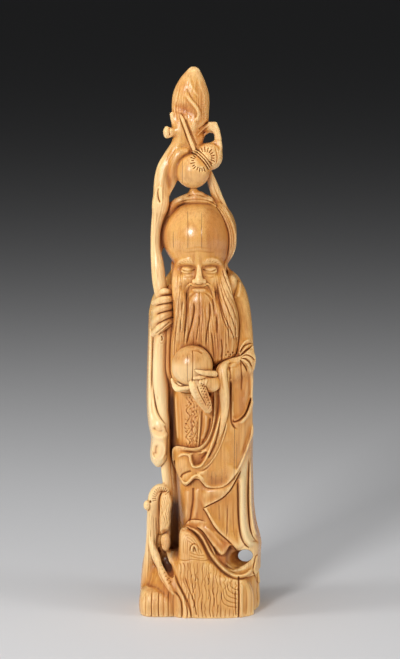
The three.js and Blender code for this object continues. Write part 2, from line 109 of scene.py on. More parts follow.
class Sheet:
    """Relief on the front drawing, in mm outwards, Q samples to a square."""

    Q, U0, U1, V0, V1 = 4, 126, 274, 56, 630

    def __init__(self):
        self.h = np.zeros(((self.V1 - self.V0) * self.Q + 1, (self.U1 - self.U0) * self.Q + 1), np.float32)
        self.us = self.U0 + np.arange(self.h.shape[1]) / self.Q
        self.vs = self.V0 + np.arange(self.h.shape[0]) / self.Q

    def window(self, u0, u1, v0, v1):
        n, m = self.h.shape
        i0, i1 = int((u0 - self.U0) * self.Q), int((u1 - self.U0) * self.Q) + 2
        j0, j1 = int((v0 - self.V0) * self.Q), int((v1 - self.V0) * self.Q) + 2
        return slice(max(j0, 0), max(min(j1, n), 0)), slice(max(i0, 0), max(min(i1, m), 0))

    def trace(self, pts, reach, closed=False):
        """Window, distance to the curve, share along it, and side (+1 to the right of travel)."""
        c = curve(pts, 1.0, closed)[:, :2]
        if closed:
            c = np.vstack([c, c[:1]])
        seg = np.hypot(*(c[1:] - c[:-1]).T)
        s = np.concatenate([[0], np.cumsum(seg)]) / max(seg.sum(), 1e-9)
        sl = self.window(c[:, 0].min() - reach, c[:, 0].max() + reach, c[:, 1].min() - reach, c[:, 1].max() + reach)
        V, U = self.vs[sl[0]], self.us[sl[1]]
        D = np.full((len(V), len(U)), reach * 1.5, np.float32)
        S, G = np.zeros_like(D), np.ones_like(D)
        for k in range(len(c) - 1):
            (a0, a1), (b0, b1) = c[k], c[k + 1]
            if seg[k] < 1e-6:
                continue
            i0, i1 = np.searchsorted(U, [min(a0, b0) - reach, max(a0, b0) + reach])
            j0, j1 = np.searchsorted(V, [min(a1, b1) - reach, max(a1, b1) + reach])
            if i1 <= i0 or j1 <= j0:
                continue
            du, dv = (b0 - a0), (b1 - a1)
            x, y = U[i0:i1][None, :] - a0, V[j0:j1][:, None] - a1
            t = np.clip((x * du + y * dv) / (seg[k] ** 2), 0, 1)
            d = np.hypot(x - t * du, y - t * dv)
            box = (slice(j0, j1), slice(i0, i1))
            m = d < D[box]
            D[box] = np.where(m, d, D[box])
            S[box] = np.where(m, s[k] + t * (s[k + 1] - s[k]), S[box])
            G[box] = np.where(m, np.where(du * y - dv * x >= 0, 1.0, -1.0), G[box])
        return sl, D, S, G

    @staticmethod
    def ends(S, e):
        f = 1.0
        if e[0]:
            f = f * smooth(S / e[0])
        if e[1]:
            f = f * smooth((1 - S) / e[1])
        return f

    def ridge(self, pts, h, w, ends=(0.15, 0.15), lean=0.0, power=2.0):
        """A raised line, or a groove if h is below nought. lean +1 is steep on the right of travel."""
        sl, D, S, G = self.trace(pts, w * (2.4 + 3 * abs(lean)) + 0.5)
        ww = np.where(G * lean > 0, w * (1 - 0.35 * abs(lean)), w * (1 + 1.5 * abs(lean))) if lean else w
        m = np.exp(-((D / ww) ** power)) * self.ends(S, ends)
        pts = np.asarray(pts, float)
        if pts.shape[1] > 2:
            m = m * np.interp(S, np.linspace(0, 1, len(pts)), pts[:, 2])
        self.h[sl] += h * m

    def groove(self, pts, h, w, ends=(0.15, 0.15), lean=0.0):
        self.ridge(pts, -h, w, ends, lean, 1.6)

    def cliff(self, pts, h, fall, side=1, edge=0.5, under=(0.8, 0.9), ends=(0.1, 0.1), roll=0.0):
        """An edge of cloth: high on its side (+1: right of travel), sinking away over fall."""
        sl, D, S, G = self.trace(pts, max(fall * 3.2, 3.0))
        g = G * D * side
        up = smooth((g + edge) / (2 * edge)) * np.exp(-((np.maximum(g, 0) / (fall * 1.6)) ** 1.5))
        low = np.where(g < 0, np.exp(-((g / under[1]) ** 2)), 0) * under[0]
        low = low + np.where(g >= 0, roll * np.exp(-(((g - 2.6) / 1.5) ** 2)), 0)
        self.h[sl] += (h * up - low) * self.ends(S, ends)

    def inside(self, pts, reach):
        """Window and distance inwards from a closed outline, in squares."""
        sl, D, S, G = self.trace(pts, reach, True)
        c = curve(pts, 1.0, True)
        V, U = self.vs[sl[0]], self.us[sl[1]]
        odd = np.zeros(D.shape, bool)
        for (a0, a1), (b0, b1) in zip(c[:, :2], np.roll(c[:, :2], -1, 0)):
            if a1 == b1:
                continue
            j0, j1 = np.searchsorted(V, sorted((a1, b1)))
            if j1 > j0:
                x = a0 + (V[j0:j1] - a1) * (b0 - a0) / (b1 - a1)
                odd[j0:j1] ^= U[None, :] < x[:, None]
        return sl, np.where(odd, D, -D)

    def patch(self, pts, h, edge=0.6, rim=(0, 1), under=(0, 1), deep=12.0, clear=0.0):
        """A layer with this outline, its edge rolled by rim and undercut by under."""
        sl, g = self.inside(pts, deep)
        m = smooth((g + edge) / (2 * edge))
        old = self.h[sl]
        self.h[sl] = old * (1 - clear * m) + m * (h + rim[0] * np.exp(-(((g - rim[1]) / rim[1]) ** 2))) - (1 - m) * under[0] * np.exp(-((g / under[1]) ** 2))

    def mound(self, u, v, ru, rv, h, turn=0.0, power=2.0):
        r = 2.6 * max(ru, rv)
        sl = self.window(u - r, u + r, v - r, v + r)
        U, V = self.us[sl[1]][None, :] - u, self.vs[sl[0]][:, None] - v
        c, s = math.cos(turn), math.sin(turn)
        self.h[sl] += h * np.exp(-((np.hypot((U * c + V * s) / ru, (V * c - U * s) / rv)) ** power))

    def fade(self, u, v, ru, rv, keep, power=3.0):
        """Lowers what is there to a share of its height about a place."""
        r = 1.8 * max(ru, rv)
        sl = self.window(u - r, u + r, v - r, v + r)
        U, V = self.us[sl[1]][None, :] - u, self.vs[sl[0]][:, None] - v
        self.h[sl] *= 1 - (1 - keep) * np.exp(-(np.hypot(U / ru, V / rv) ** power))

    def sample(self, u, v):
        n, m = self.h.shape
        x = np.clip((u - self.U0) * self.Q, 0, m - 1.01)
        y = np.clip((v - self.V0) * self.Q, 0, n - 1.01)
        i, j = x.astype(np.int32), y.astype(np.int32)
        fx, fy = x - i, y - j
        h = self.h
        return (h[j, i] * (1 - fx) + h[j, i + 1] * fx) * (1 - fy) + (h[j + 1, i] * (1 - fx) + h[j + 1, i + 1] * fx) * fy


# ---- solids on the grid --------------------------------------------------------
XS = np.arange(LO[0], HI[0], STEP, dtype=np.float32)
YS = np.arange(LO[1], HI[1], STEP, dtype=np.float32)
ZS = np.arange(LO[2], HI[2], STEP, dtype=np.float32)
OPS = []


def smin(a, b, k):
    if k <= 0.01:
        return np.minimum(a, b)
    h = np.clip(0.5 + (b - a) / (2 * k), 0, 1)
    return b + (a - b) * h - k * h * (1 - h)


def put(lo, hi, dist, k=0.4, cut=False, reach=2.5, moat=None):
    """Adds (or cuts) a solid given by its distance, with a blend of k mm. A moat
    (width, depth) sets back what lies beside it, so that it stands clear."""
    if moat:
        moat = (moat[0] * 0.8, moat[1])
    reach = max(reach, k + 1.0, moat[0] + 0.6 if moat else 0)
    lo, hi = np.array(lo, float) - reach, np.array(hi, float) + reach

    def run(F, zs):
        k0, k1 = np.searchsorted(zs, [lo[2], hi[2]])
        j0, j1 = np.searchsorted(YS, [lo[1], hi[1]])
        i0, i1 = np.searchsorted(XS, [lo[0], hi[0]])
        if k1 <= k0 or j1 <= j0 or i1 <= i0:
            return
        box = (slice(k0, k1), slice(j0, j1), slice(i0, i1))
        d = dist(XS[i0:i1], YS[j0:j1], zs[k0:k1]).astype(np.float32)
        old = F[box]
        if cut:
            F[box] = -smin(-old, d, k)
        else:
            if moat:
                old = old + moat[1] * smooth(1 - d / moat[0])
            F[box] = smin(old, d, k)

    OPS.append(run)


def tube(points, k=0.5, flat=1.0, space=False, cut=False, reach=2.5, moat=None, fine=1.2):
    """A round limb through points (u, v, y, radius), or (x, y, z, radius) in space."""
    if space:
        p = np.array(points, float)
    else:
        p = np.array([[*at(u, v, y), r] for u, v, y, r in points])
    q = np.asarray(p)
    e = np.vstack([2 * q[0] - q[1], q, 2 * q[-1] - q[-2]])
    out = []
    for i in range(len(e) - 3):
        a, b, c, d = e[i : i + 4]
        n = max(1, int(math.ceil(np.linalg.norm((c - b)[:3]) / fine)))
        t = (np.arange(n) / n)[:, None]
        out.append(0.5 * (2 * b + (c - a) * t + (2 * a - 5 * b + 4 * c - d) * t**2 + (3 * b - a - 3 * c + d) * t**3))
    c = np.vstack(out + [q[-1:]])
    c[:, 3] = np.maximum(c[:, 3], 0.15)
    big = c[:, 3].max()
    pad = np.array([big, big * max(flat, 1), big])

    def dist(X, Y, Z):
        D = np.full((len(Z), len(Y), len(X)), FAR, np.float32)
        for a, b in zip(c[:-1], c[1:]):
            r = max(a[3], b[3]) + max(reach, k + 1.0, moat[0] + 0.6 if moat else 0)
            i0, i1 = np.searchsorted(X, [min(a[0], b[0]) - r, max(a[0], b[0]) + r])
            j0, j1 = np.searchsorted(Y, [min(a[1], b[1]) - r * max(flat, 1), max(a[1], b[1]) + r * max(flat, 1)])
            k0, k1 = np.searchsorted(Z, [min(a[2], b[2]) - r, max(a[2], b[2]) + r])
            if i1 <= i0 or j1 <= j0 or k1 <= k0:
                continue
            x, y, z = X[i0:i1][None, None, :] - a[0], (Y[j0:j1][None, :, None] - a[1]) / flat, Z[k0:k1][:, None, None] - a[2]
            dx, dy, dz = b[0] - a[0], (b[1] - a[1]) / flat, b[2] - a[2]
            L = max(dx * dx + dy * dy + dz * dz, 1e-9)
            t = np.clip((x * dx + y * dy + z * dz) / L, 0, 1).astype(np.float32)
            d = np.sqrt((x - t * dx) ** 2 + (y - t * dy) ** 2 + (z - t * dz) ** 2) - (a[3] + t * (b[3] - a[3]))
            if flat < 1:
                d = d * flat
            s = (slice(k0, k1), slice(j0, j1), slice(i0, i1))
            D[s] = np.minimum(D[s], d)
        return D

    put(c[:, :3].min(0) - pad, c[:, :3].max(0) + pad, dist, k, cut, reach, moat)


def turned(rx=0.0, ry=0.0, rz=0.0):
    cx, sx, cy, sy, cz, sz = math.cos(rx), math.sin(rx), math.cos(ry), math.sin(ry), math.cos(rz), math.sin(rz)
    X = np.array([[1, 0, 0], [0, cx, -sx], [0, sx, cx]])
    Y = np.array([[cy, 0, sy], [0, 1, 0], [-sy, 0, cy]])
    Z = np.array([[cz, -sz, 0], [sz, cz, 0], [0, 0, 1]])
    return Z @ Y @ X


def egg(centre, radii, turn=(0, 0, 0), k=0.5, space=False, cut=False, reach=2.5, moat=None):
    """An egg centred at (u, v, y), or at (x, y, z) in space, with half sizes in mm."""
    c = np.array(centre, float) if space else at(*centre)
    R, r = turned(*turn), np.array(radii, float)
    half = np.sqrt((R**2) @ (r**2))

    def dist(X, Y, Z):
        x, y, z = X[None, None, :] - c[0], Y[None, :, None] - c[1], Z[:, None, None] - c[2]
        k0 = k1 = 0
        for i in range(3):
            p = x * R[0, i] + y * R[1, i] + z * R[2, i]
            k0 = k0 + (p / r[i]) ** 2
            k1 = k1 + (p / r[i] ** 2) ** 2
        k0 = np.sqrt(k0)
        return k0 * (k0 - 1) / np.sqrt(np.maximum(k1, 1e-9))

    put(c - half, c + half, dist, k, cut, reach, moat)


def table(rows):
    """A smooth table: rows of numbers, sorted by the first of them."""
    a = np.array(sorted(rows), float)

    def look(key):
        key = np.asarray(key, float)
        i = np.clip(np.searchsorted(a[:, 0], key) - 1, 0, len(a) - 2)
        p, q = a[i], a[i + 1]
        z, c = a[np.maximum(i - 1, 0)], a[np.minimum(i + 2, len(a) - 1)]
        h = (q[..., :1] - p[..., :1])
        t = np.clip((key[..., None] - p[..., :1]) / h, 0, 1)
        m0 = (q - z) / np.maximum(q[..., :1] - z[..., :1], 1e-6) * h
        m1 = (c - p) / np.maximum(c[..., :1] - p[..., :1], 1e-6) * h
        return (2 * t**3 - 3 * t**2 + 1) * p + (t**3 - 2 * t**2 + t) * m0 + (3 * t**2 - 2 * t**3) * q + (t**3 - t**2) * m1

    return look


def loft(rows, k=0.5, mid=0.0, heights=False, reach=2.5, moat=None, relief=None):
    """An upright body. Rows are [v, left u, right u, front y, back y, squareness],
    or with heights [z, left x, right x, front y, back y, squareness] in mm."""
    if heights:
        r = [list(q) for q in rows]
    else:
        r = []
        for v, ul, ur, f, b, n in rows:
            l, g = at(ul, v, mid), at(ur, v, mid)
            r.append([l[2], l[0], g[0], f, b, n])
    look = table(r)
    a = np.array(sorted(r))
    z0, z1 = a[0, 0], a[-1, 0]

    def dist(X, Y, Z):
        q = look(np.clip(Z, z0, z1))
        cx, cy = (q[:, 1] + q[:, 2]) / 2, (q[:, 3] + q[:, 4]) / 2
        ra, rb, n = np.maximum((q[:, 2] - q[:, 1]) / 2, 0.3), np.maximum((q[:, 4] - q[:, 3]) / 2, 0.3), q[:, 5]
        col = lambda w: w[:, None, None].astype(np.float32)
        x, y = (X[None, None, :] - col(cx)) / col(ra), (Y[None, :, None] - col(cy)) / col(rb)
        N = col(n)
        ax, ay = np.abs(x) + 1e-6, np.abs(y) + 1e-6
        px, py = ax**N, ay**N
        f = (px + py) ** (1 / N)
        g = np.hypot(px / ax / col(ra), py / ay / col(rb)) * f ** (1 - N)
        d = (f - 1) / np.maximum(g, 1e-3)
        if relief:
            d = d - relief(np.arctan2(y * col(rb), x * col(ra)), Z[:, None, None])
        up = np.maximum(z0 - Z, Z - z1)[:, None, None]
        out = np.maximum(up, 0)
        return np.where(up > 0, np.hypot(np.maximum(d, 0), out), np.maximum(d, up + 0 * d))

    put((a[:, 1].min(), a[:, 3].min(), z0), (a[:, 2].max(), a[:, 4].max(), z1), dist, k, False, reach, moat)


def lay(sheet, band=6.0, f0=0.08, f1=0.5, v0=56, v1=630, front=99.0):
    """Lays a sheet's relief on what is there, where it faces the front."""

    def run(F, zs):
        z_hi, z_lo = at(200, v0, -30)[2] + 8, at(200, v1, 30)[2] - 8
        k0, k1 = np.searchsorted(zs, [z_lo, z_hi])
        if k1 - k0 < 3:
            return
        sub = F[k0:k1]
        kk, jj, ii = np.nonzero(np.abs(sub) < band)
        if not len(kk):
            return
        n = sub.shape
        gx = sub[kk, jj, np.minimum(ii + 1, n[2] - 1)] - sub[kk, jj, np.maximum(ii - 1, 0)]
        gy = sub[kk, np.minimum(jj + 1, n[1] - 1), ii] - sub[kk, np.maximum(jj - 1, 0), ii]
        gz = sub[np.minimum(kk + 1, n[0] - 1), jj, ii] - sub[np.maximum(kk - 1, 0), jj, ii]
        face = (-gy * C9 + gz * S9) / np.sqrt(gx * gx + gy * gy + gz * gz + 1e-9)
        w = smooth((face - f0) / (f1 - f0))
        w = w * smooth((front - YS[jj]) / 4)
        keep = w > 0
        kk, jj, ii, w = kk[keep], jj[keep], ii[keep], w[keep]
        u, v = drawn(XS[ii], YS[jj], zs[k0:k1][kk])
        sub[kk, jj, ii] -= (sheet.sample(u, v) * w).astype(np.float32)

    OPS.append(run)


def noise(seed):
    """A fixed smooth wobble of one number."""
    rng = np.random.default_rng(seed)
    f, p, a = rng.uniform(0.4, 2.2, 6), rng.uniform(0, 6.28, 6), rng.uniform(0.3, 1, 6)
    return lambda t: (a[:, None] * np.sin(np.outer(f, np.atleast_1d(t)) + p[:, None])).sum(0) / a.sum()


# ==== the carving ===============================================================
# ---- robe, sleeves and stump ---------------------------------------------------
def back_folds(angle, z):
    """Long soft folds down the back and the sides, which the front view doesn't show."""
    back = smooth((np.sin(angle) + 0.25) / 0.6)
    low = 0.35 + 0.65 * smooth((205 - z) / 90)
    wave = np.sin(7 * angle + 0.6 + 0.012 * z) + 0.5 * np.sin(12 * angle + 0.021 * z + 1.1)
    return (1.25 * low * back * wave).astype(np.float32)


ROBE = [
    [270, 181, 229, -3, 12, 2.1],
    [276, 172, 236.3, -7, 16, 2.1],
    [282, 168, 241, -10, 19, 2.2],
    [290, 168, 245.2, -13, 21, 2.2],
    [300, 170, 248, -16, 22.5, 2.3],
    [310, 171, 250, -18, 23.5, 2.3],
    [325, 172, 251.5, -20, 24.2, 2.35],
    [340, 172, 252.4, -21.5, 24.5, 2.4],
    [358, 172, 253.2, -23, 24.5, 2.4],
    [366, 171, 253.4, -23.5, 24.5, 2.6],
    [380, 171, 252.6, -24, 24.5, 2.8],
    [400, 172, 252.2, -24.5, 24.7, 2.8],
    [420, 173, 252.1, -24.5, 24.8, 2.8],
    [440, 174.5, 252.3, -24.5, 25, 2.8],
    [460, 175.5, 252, -24.5, 25, 2.7],
    [480, 176.5, 252.5, -24.5, 25.2, 2.6],
    [500, 177.5, 253, -24.7, 25.6, 2.5],
    [515, 178.5, 254.5, -25, 26, 2.4],
    [525, 180, 256.3, -25.3, 26.3, 2.45],
    [535, 180, 259, -25.8, 26.6, 2.5],
    [543, 180, 260.3, -26, 26.8, 2.5],
    [552, 180, 259.5, -26.3, 27, 2.5],
    [568, 180, 259, -26.5, 27, 2.5],
]
BACKING = [
    [272, 180, 228, 2, 11, 2],
    [282, 171, 236, -1, 18, 2.1],
    [300, 166, 244, -3, 22, 2.2],
    [340, 162, 246, -4, 24, 2.2],
    [420, 162, 246, -4, 24.4, 2.2],
    [455, 163, 246, -4, 24.8, 2.2],
    [475, 164.5, 246, -3, 25, 2.2],
    [500, 163, 246, -2, 25.5, 2.2],
    [530, 157, 250, -3, 27, 2.3],
    [552, 151, 252, -8, 28.5, 2.3],
    [575, 147, 252, -14, 29.5, 2.3],
]
loft(BACKING, k=0, reach=6, relief=back_folds)
loft(ROBE, k=2, reach=8, relief=back_folds)

BASE = [
    [0, -35.2, 35.8, -29.4, 29.6, 2.0],
    [3, -36.3, 36.5, -30.4, 30.6, 2.05],
    [8, -36.5, 36.5, -31, 31.2, 2.1],
    [16, -35.2, 36.0, -30.8, 30.6, 2.15],
    [22, -33.8, 35.4, -29, 29.8, 2.2],
    [27, -33.0, 35.0, -25, 29, 2.2],
    [32, -32.4, 34.6, -20, 28.4, 2.2],
    [38, -31.2, 33.0, -14, 27, 2.2],
]


def bark_back(angle, z):
    """Shallow bark grooves round the stump's sides and back."""
    side = smooth((np.sin(angle) + 0.75) / 0.6)
    g = np.sin(23 * angle + 1.3 * np.sin(0.11 * z) + 0.5 * np.sin(5 * angle + 0.3 * z))
    g2 = np.sin(41 * angle - 0.9 * np.sin(0.17 * z + 1))
    return (-0.55 * side * (smooth((g - 0.35) / 0.6) + 0.5 * smooth((g2 - 0.5) / 0.5))).astype(np.float32)


loft(BASE, k=1.5, heights=True, reach=7, relief=bark_back)
# the mound under the crane, the trunk with its rounded top, and the slope beside it
loft([
    [583, 146, 164, -22, -6, 2.4], [586.6, 142, 171, -25.6, -4, 2.9], [591, 140.4, 176.4, -27.6, -3, 3.3], [597, 139.4, 179.6, -28.6, -3, 3.4],
    [605, 139.6, 180.2, -28.2, -2, 3.2], [612, 141.4, 180, -26.4, -2, 3.0], [619, 144, 179.4, -24, -3, 2.8],
], k=1.0, mid=-10, reach=6)
egg((150.8, 574, 1), (5.4, 14, 16), k=3, reach=6)
loft([
    [559.8, 178, 211.4, -30.2, -8, 2.5], [563.5, 176, 218, -30.6, -8, 2.5], [569, 174, 224, -30.9, -8, 2.4], [574, 173, 232, -31.1, -8, 2.35],
    [578, 172, 244, -31.2, -8, 2.3], [590, 172, 252, -31.4, -8, 2.2], [604, 172, 254, -31.2, -8, 2.1], [620, 172, 254, -30, -8, 2.1],
], k=1.8, mid=-24, reach=6)
loft([
    [529.8, 183, 188, -24, -12, 2], [532, 180.4, 192.6, -26.6, -12, 2.2], [536, 179.2, 197, -28.6, -11, 2.4], [541.6, 178.8, 201.6, -29.6, -10, 2.4],
    [548, 178.6, 205.6, -30.2, -9, 2.4], [554, 178.4, 208.8, -30.5, -8, 2.4], [560.6, 178.2, 211.6, -30.5, -8, 2.5], [565, 179, 213, -30, -8, 2.5],
], k=0.9, mid=-24, reach=6)
tube([(172, 556, -16, 4.5), (175, 568, -19, 5.5), (179, 582, -21, 6), (184, 598, -23, 6), (187, 614, -24, 6)], k=3, reach=6)

# the narrow gap beside the staff is cut deeper lower down
GAP = [(170.8, 384, -14, 0.4), (171.2, 396, -13, 0.6), (171.8, 410, -12.4, 0.85), (172.6, 424, -12, 1.2), (173.0, 438, -11.8, 1.35), (173.0, 448, -12, 0.9)]

# shoulder and upper arm on the staff's side, with its hanging sleeve
tube([(183, 279, 4, 7.5), (174, 286, 3, 7.2), (167, 297, 1, 6.4), (163, 310, -2, 5.6)], k=2.5, reach=6)
SLEEVE_L = [
    [292, 158, 166, -4, 5, 2],
    [295.6, 155, 167, -6.6, 8, 2.05],
    [300, 152.8, 168, -8.4, 9.6, 2.1],
    [308, 150.4, 169, -10, 11, 2.2],
    [320, 148.8, 169, -10, 12, 2.2],
    [335, 148.3, 169, -9.5, 12.5, 2.2],
    [360, 147.6, 168, -9.5, 12.5, 2.2],
    [385, 147.1, 168, -10.5, 11.5, 2.2],
    [405, 147.3, 169, -13.5, 10, 2.2],
    [418, 148.3, 169.5, -16.5, 8.5, 2.2],
    [424, 149.2, 169.8, -18, 7, 2.2],
    [430, 150.6, 170.2, -18.6, 6, 2.2],
    [436, 151.8, 170.4, -18.6, 5.5, 2.2],
    [443, 151.6, 170.5, -18.6, 5, 2.2],
    [450, 151, 170.4, -18.6, 4, 2.2],
    [455, 151.2, 169.6, -18, 3, 2.2],
    [459, 152.2, 167, -17, 1, 2.1],
    [463, 155, 163, -14, -2, 2],
]


def sleeve_folds(angle, z):
    """Soft folds on the outer side of the hanging sleeve."""
    return (0.45 * smooth((np.sin(angle) + 0.55) / 0.6) * np.sin(6 * angle + 0.03 * z)).astype(np.float32)


loft(SLEEVE_L, k=1.6, mid=-2, reach=6, moat=(1.4, 0.6), relief=sleeve_folds)
tube([(181, 284, 9, 7.5), (173, 291, 7, 7.5), (165, 300, 3, 7), (160.6, 312, 1, 6)], k=3, reach=6)
# ivory left between the staff and the body
tube([(171.4, 290, -10, 3.6), (170.8, 308, -12.6, 4.2), (170.4, 330, -13.4, 4.4), (170.2, 350, -13.8, 4.4), (170.4, 370, -13.6, 4.2), (170.8, 381, -10, 3.2)], k=1.6, reach=6)
tube([(170, 384, -7.6, 3.4), (170.4, 400, -7.6, 3.2), (171, 420, -6.6, 3.0), (172, 440, -6, 2.8), (173, 456, -4, 2.6), (174.6, 474, 0, 2.4), (177, 495, 6, 2.4)], k=1.5, reach=6)
# upper arm and elbow on the other side
tube([(225.5, 284, 1, 8.4), (233, 300, -2, 8.4), (237.6, 322, -5.5, 8), (240.6, 343, -9, 7.4), (240.4, 356, -13, 7)], k=3, reach=6)
tube([(240, 362, -13, 7.2), (233, 367.6, -18.6, 6.4), (226.6, 372, -21.4, 4.8)], k=3, reach=6)

B = Sheet()
# -- the big hanging sleeve
SLEEVE = [
    (216, 369), (222, 362), (230, 358.5), (240, 356), (245.6, 352.6), (250, 348.4), (256, 343), (266, 336), (264, 400), (258, 425), (251, 441), (246, 455), (242, 464),
    (237, 473), (231, 480.5), (226, 485), (220, 487.5), (208, 487.5), (203.5, 484), (199, 479.3), (194, 479), (190.5, 482), (186, 485.5), (182.5, 483),
    (178.5, 477), (175, 468), (172.3, 460), (171.6, 454), (172.6, 448.5), (176, 446), (183, 446.6), (190, 448), (197, 447.6), (203, 444.5), (208, 438),
    (212, 427.5), (214, 415), (214.6, 400), (214, 385),
]
B.patch(SLEEVE, 3.0, edge=0.45, rim=(0.0, 1.4), under=(0.7, 0.7), deep=14, clear=1.0)
B.fade(258, 336, 10, 15, 0.0)
B.fade(219, 488, 14, 12, 0.25)
B.mound(220, 384, 5.5, 13, 1.4)
L1 = [(214.5, 385), (214.8, 400), (214.3, 413), (212.5, 426), (208.5, 437), (203.5, 444), (197, 447.8), (190, 448.2), (183, 447), (176, 446.4)]
L2 = [(217, 374), (221, 386), (222, 398), (221, 411), (218.4, 424), (215, 436), (211.5, 446), (208, 455), (204, 462), (200, 466.6), (193.5, 467), (190.6, 462), (189.6, 457), (187, 454.8), (181.5, 455), (176.5, 458)]
L3 = [(228.5, 392), (227.5, 404), (226.4, 418), (225.6, 429), (222.6, 440), (218, 451), (212.5, 460), (206.5, 466.5), (199.5, 470.5)]
B.groove([(218, 392), (218.4, 404), (217, 416), (214.6, 427), (211, 438), (206, 446), (200, 450.5), (193, 451.8), (184, 451), (177, 451)], 1.6, 1.6, (0.06, 0.15))
B.ridge(L1, 0.8, 0.62, (0.05, 0.02))
B.ridge(L2, 1.5, 0.82, (0.08, 0.06), lean=-0.3)
B.groove([(222.4, 424), (218.4, 436), (213.4, 448), (207.4, 459)], 1.3, 1.2, (0.25, 0.1))
B.groove([(229.0, 372), (229.8, 384), (229.8, 395), (228.8, 406), (226.8, 417), (224.4, 426), (221.8, 434)], 1.5, 0.9, (0.12, 0.2))
B.ridge(L3, 1.1, 0.75, (0.1, 0.12), lean=0.4)
B.groove([(227.6, 425), (225.4, 434), (221.4, 445), (216, 456), (209.5, 465), (203, 470.4), (196, 470.6)], 0.9, 1.0, (0.2, 0.15), lean=-0.5)
B.patch([(191.6, 455), (195, 453), (201, 453.4), (206.5, 452), (205.5, 457), (201, 463.5), (194.5, 465), (192.6, 461)], -1.6, edge=1.2)
B.groove([(189, 451.6), (196, 452.3), (203, 451.5)], 1.0, 0.8)
B.groove([(201, 459), (204.6, 455), (207.4, 452)], 0.7, 0.6)
B.mound(182, 464, 6.5, 8, 0.9)
B.groove([(192, 470.6), (186, 472.5), (182, 475), (181, 478.6)], 1.2, 1.0)
B.ridge([(180, 479.5), (183, 482.6), (186.6, 483.2), (190, 480.4), (193, 477), (197, 475.2), (201, 477.5), (204, 482)], 1.2, 1.3, (0.1, 0.15))
B.mound(201, 479, 4.5, 7, 1.0, 0.4)
B.ridge([(197, 475), (203, 472), (210, 470.5)], 0.8, 2.4, (0.1, 0.6))
# the pocket of cloth that hangs from the elbow
B.patch([(231.6, 386), (232, 374), (235, 365), (241, 362), (247, 367), (250.6, 380), (250.8, 395), (248, 406), (243.6, 414.5), (238, 418.6), (234, 418.6), (231.8, 412)], -1.4, edge=2.4)
B.groove([(230.8, 378), (230.7, 392), (230.6, 408), (230.9, 418), (232.2, 424), (235.4, 428.2), (239, 428)], 1.7, 0.95, (0.15, 0.15))
B.groove([(251.4, 396), (249, 405.5), (245.4, 414), (241, 418.8), (237, 421), (233.8, 421.6), (232.9, 418)], 1.9, 0.95, (0.15, 0.1))
B.ridge([(253, 399), (250.6, 408), (247, 416), (242.4, 421.4), (238, 423.8)], 1.2, 1.3, (0.15, 0.2))
B.ridge([(233, 400), (232.8, 412), (234, 417)], 0.5, 1.0)
B.groove([(240.6, 359), (241.2, 370), (241.8, 380), (241.3, 392)], 0.8, 0.8)
B.ridge([(246, 366), (247.6, 378), (246.8, 392), (243.6, 404)], 0.35, 2.2)
B.ridge([(235.4, 364), (236, 376), (236.4, 390)], 0.35, 2.2)
B.groove([(229, 366), (230.2, 373), (230.8, 380)], 1.0, 0.9)
B.ridge([(222.5, 366), (226, 367), (228, 373), (228.8, 383)], 0.9, 1.6)
for i, (pts, h, w) in enumerate([
    ([(239, 354), (241, 347.5), (244.6, 342.4), (248, 340.4), (251, 340.6)], 0.9, 1.0),
    ([(239.6, 355.5), (243.4, 350.5), (246.6, 347), (249.5, 345)], 1.1, 0.9),
    ([(240.6, 356.6), (245, 352.6), (248.6, 351.2), (252, 352.4)], 0.9, 1.0),
    ([(241, 357.4), (246, 356.8), (250, 359.5), (252.6, 364)], 0.9, 1.1),
    ([(240.6, 358.6), (245, 361), (248.6, 365.6), (250.4, 372)], 0.9, 0.9),
]):
    B.ridge(pts, h, w, (0.05, 0.35))
for pts in [
    [(240, 352), (244, 346), (250, 343.4), (255, 344)], [(240.4, 356.6), (245.6, 351), (250, 348.6), (254.6, 350.6)],
    [(240.6, 357.6), (246, 355), (251.4, 357), (256, 362)], [(240.4, 358.8), (245, 358.8), (249.6, 362.6), (252.6, 369)],
    [(239.8, 359.6), (243, 363.6), (245.8, 368), (247.4, 373)],
]:
    B.groove(pts, 1.2, 0.6, (0.05, 0.3))
# back edge of the sleeve, turned outwards
B.ridge([(253.6, 418), (253, 427), (251.2, 437), (247.8, 447), (244.2, 456.4), (240.4, 465.2), (236, 472.6)], 1.2, 1.2, (0.3, 0.15), lean=0.2)
B.groove([(249.8, 420), (248, 433), (244.6, 445), (241, 455), (238, 463)], 0.6, 1.8, (0.3, 0.3))
B.groove([(226, 440), (230, 452), (233, 466)], 0.4, 4)
B.mound(228, 455, 7, 14, 0.7, -0.2)

# -- robe in front, between the staff and the sleeve
B.groove([(180.6, 400), (181.8, 420), (182.4, 445)], 0.35, 0.6, (0.3, 0))
B.ridge([(174.6, 390), (175.4, 405), (176.4, 422), (177.2, 442)], 0.7, 1.5, (0.2, 0.1))
B.groove([(202.2, 409), (201.4, 424), (200, 438), (198.9, 446.5)], 1.0, 0.8, (0.1, 0))
B.groove([(198, 418), (197.6, 430), (197, 446)], 0.6, 0.6, (0.3, 0))
B.ridge([(200, 412), (199.6, 428), (198, 446)], 0.6, 0.9, (0.2, 0))
B.groove([(210.4, 417), (209, 429), (205.4, 438), (201.4, 444)], 1.1, 0.9, (0.1, 0.1))
B.ridge([(206.6, 414), (205.6, 428), (202.6, 440)], 0.9, 1.5, (0.2, 0.1))
B.ridge([(212.2, 412), (211.4, 424), (208, 435), (203.6, 442)], 0.6, 0.9, (0.2, 0.1))
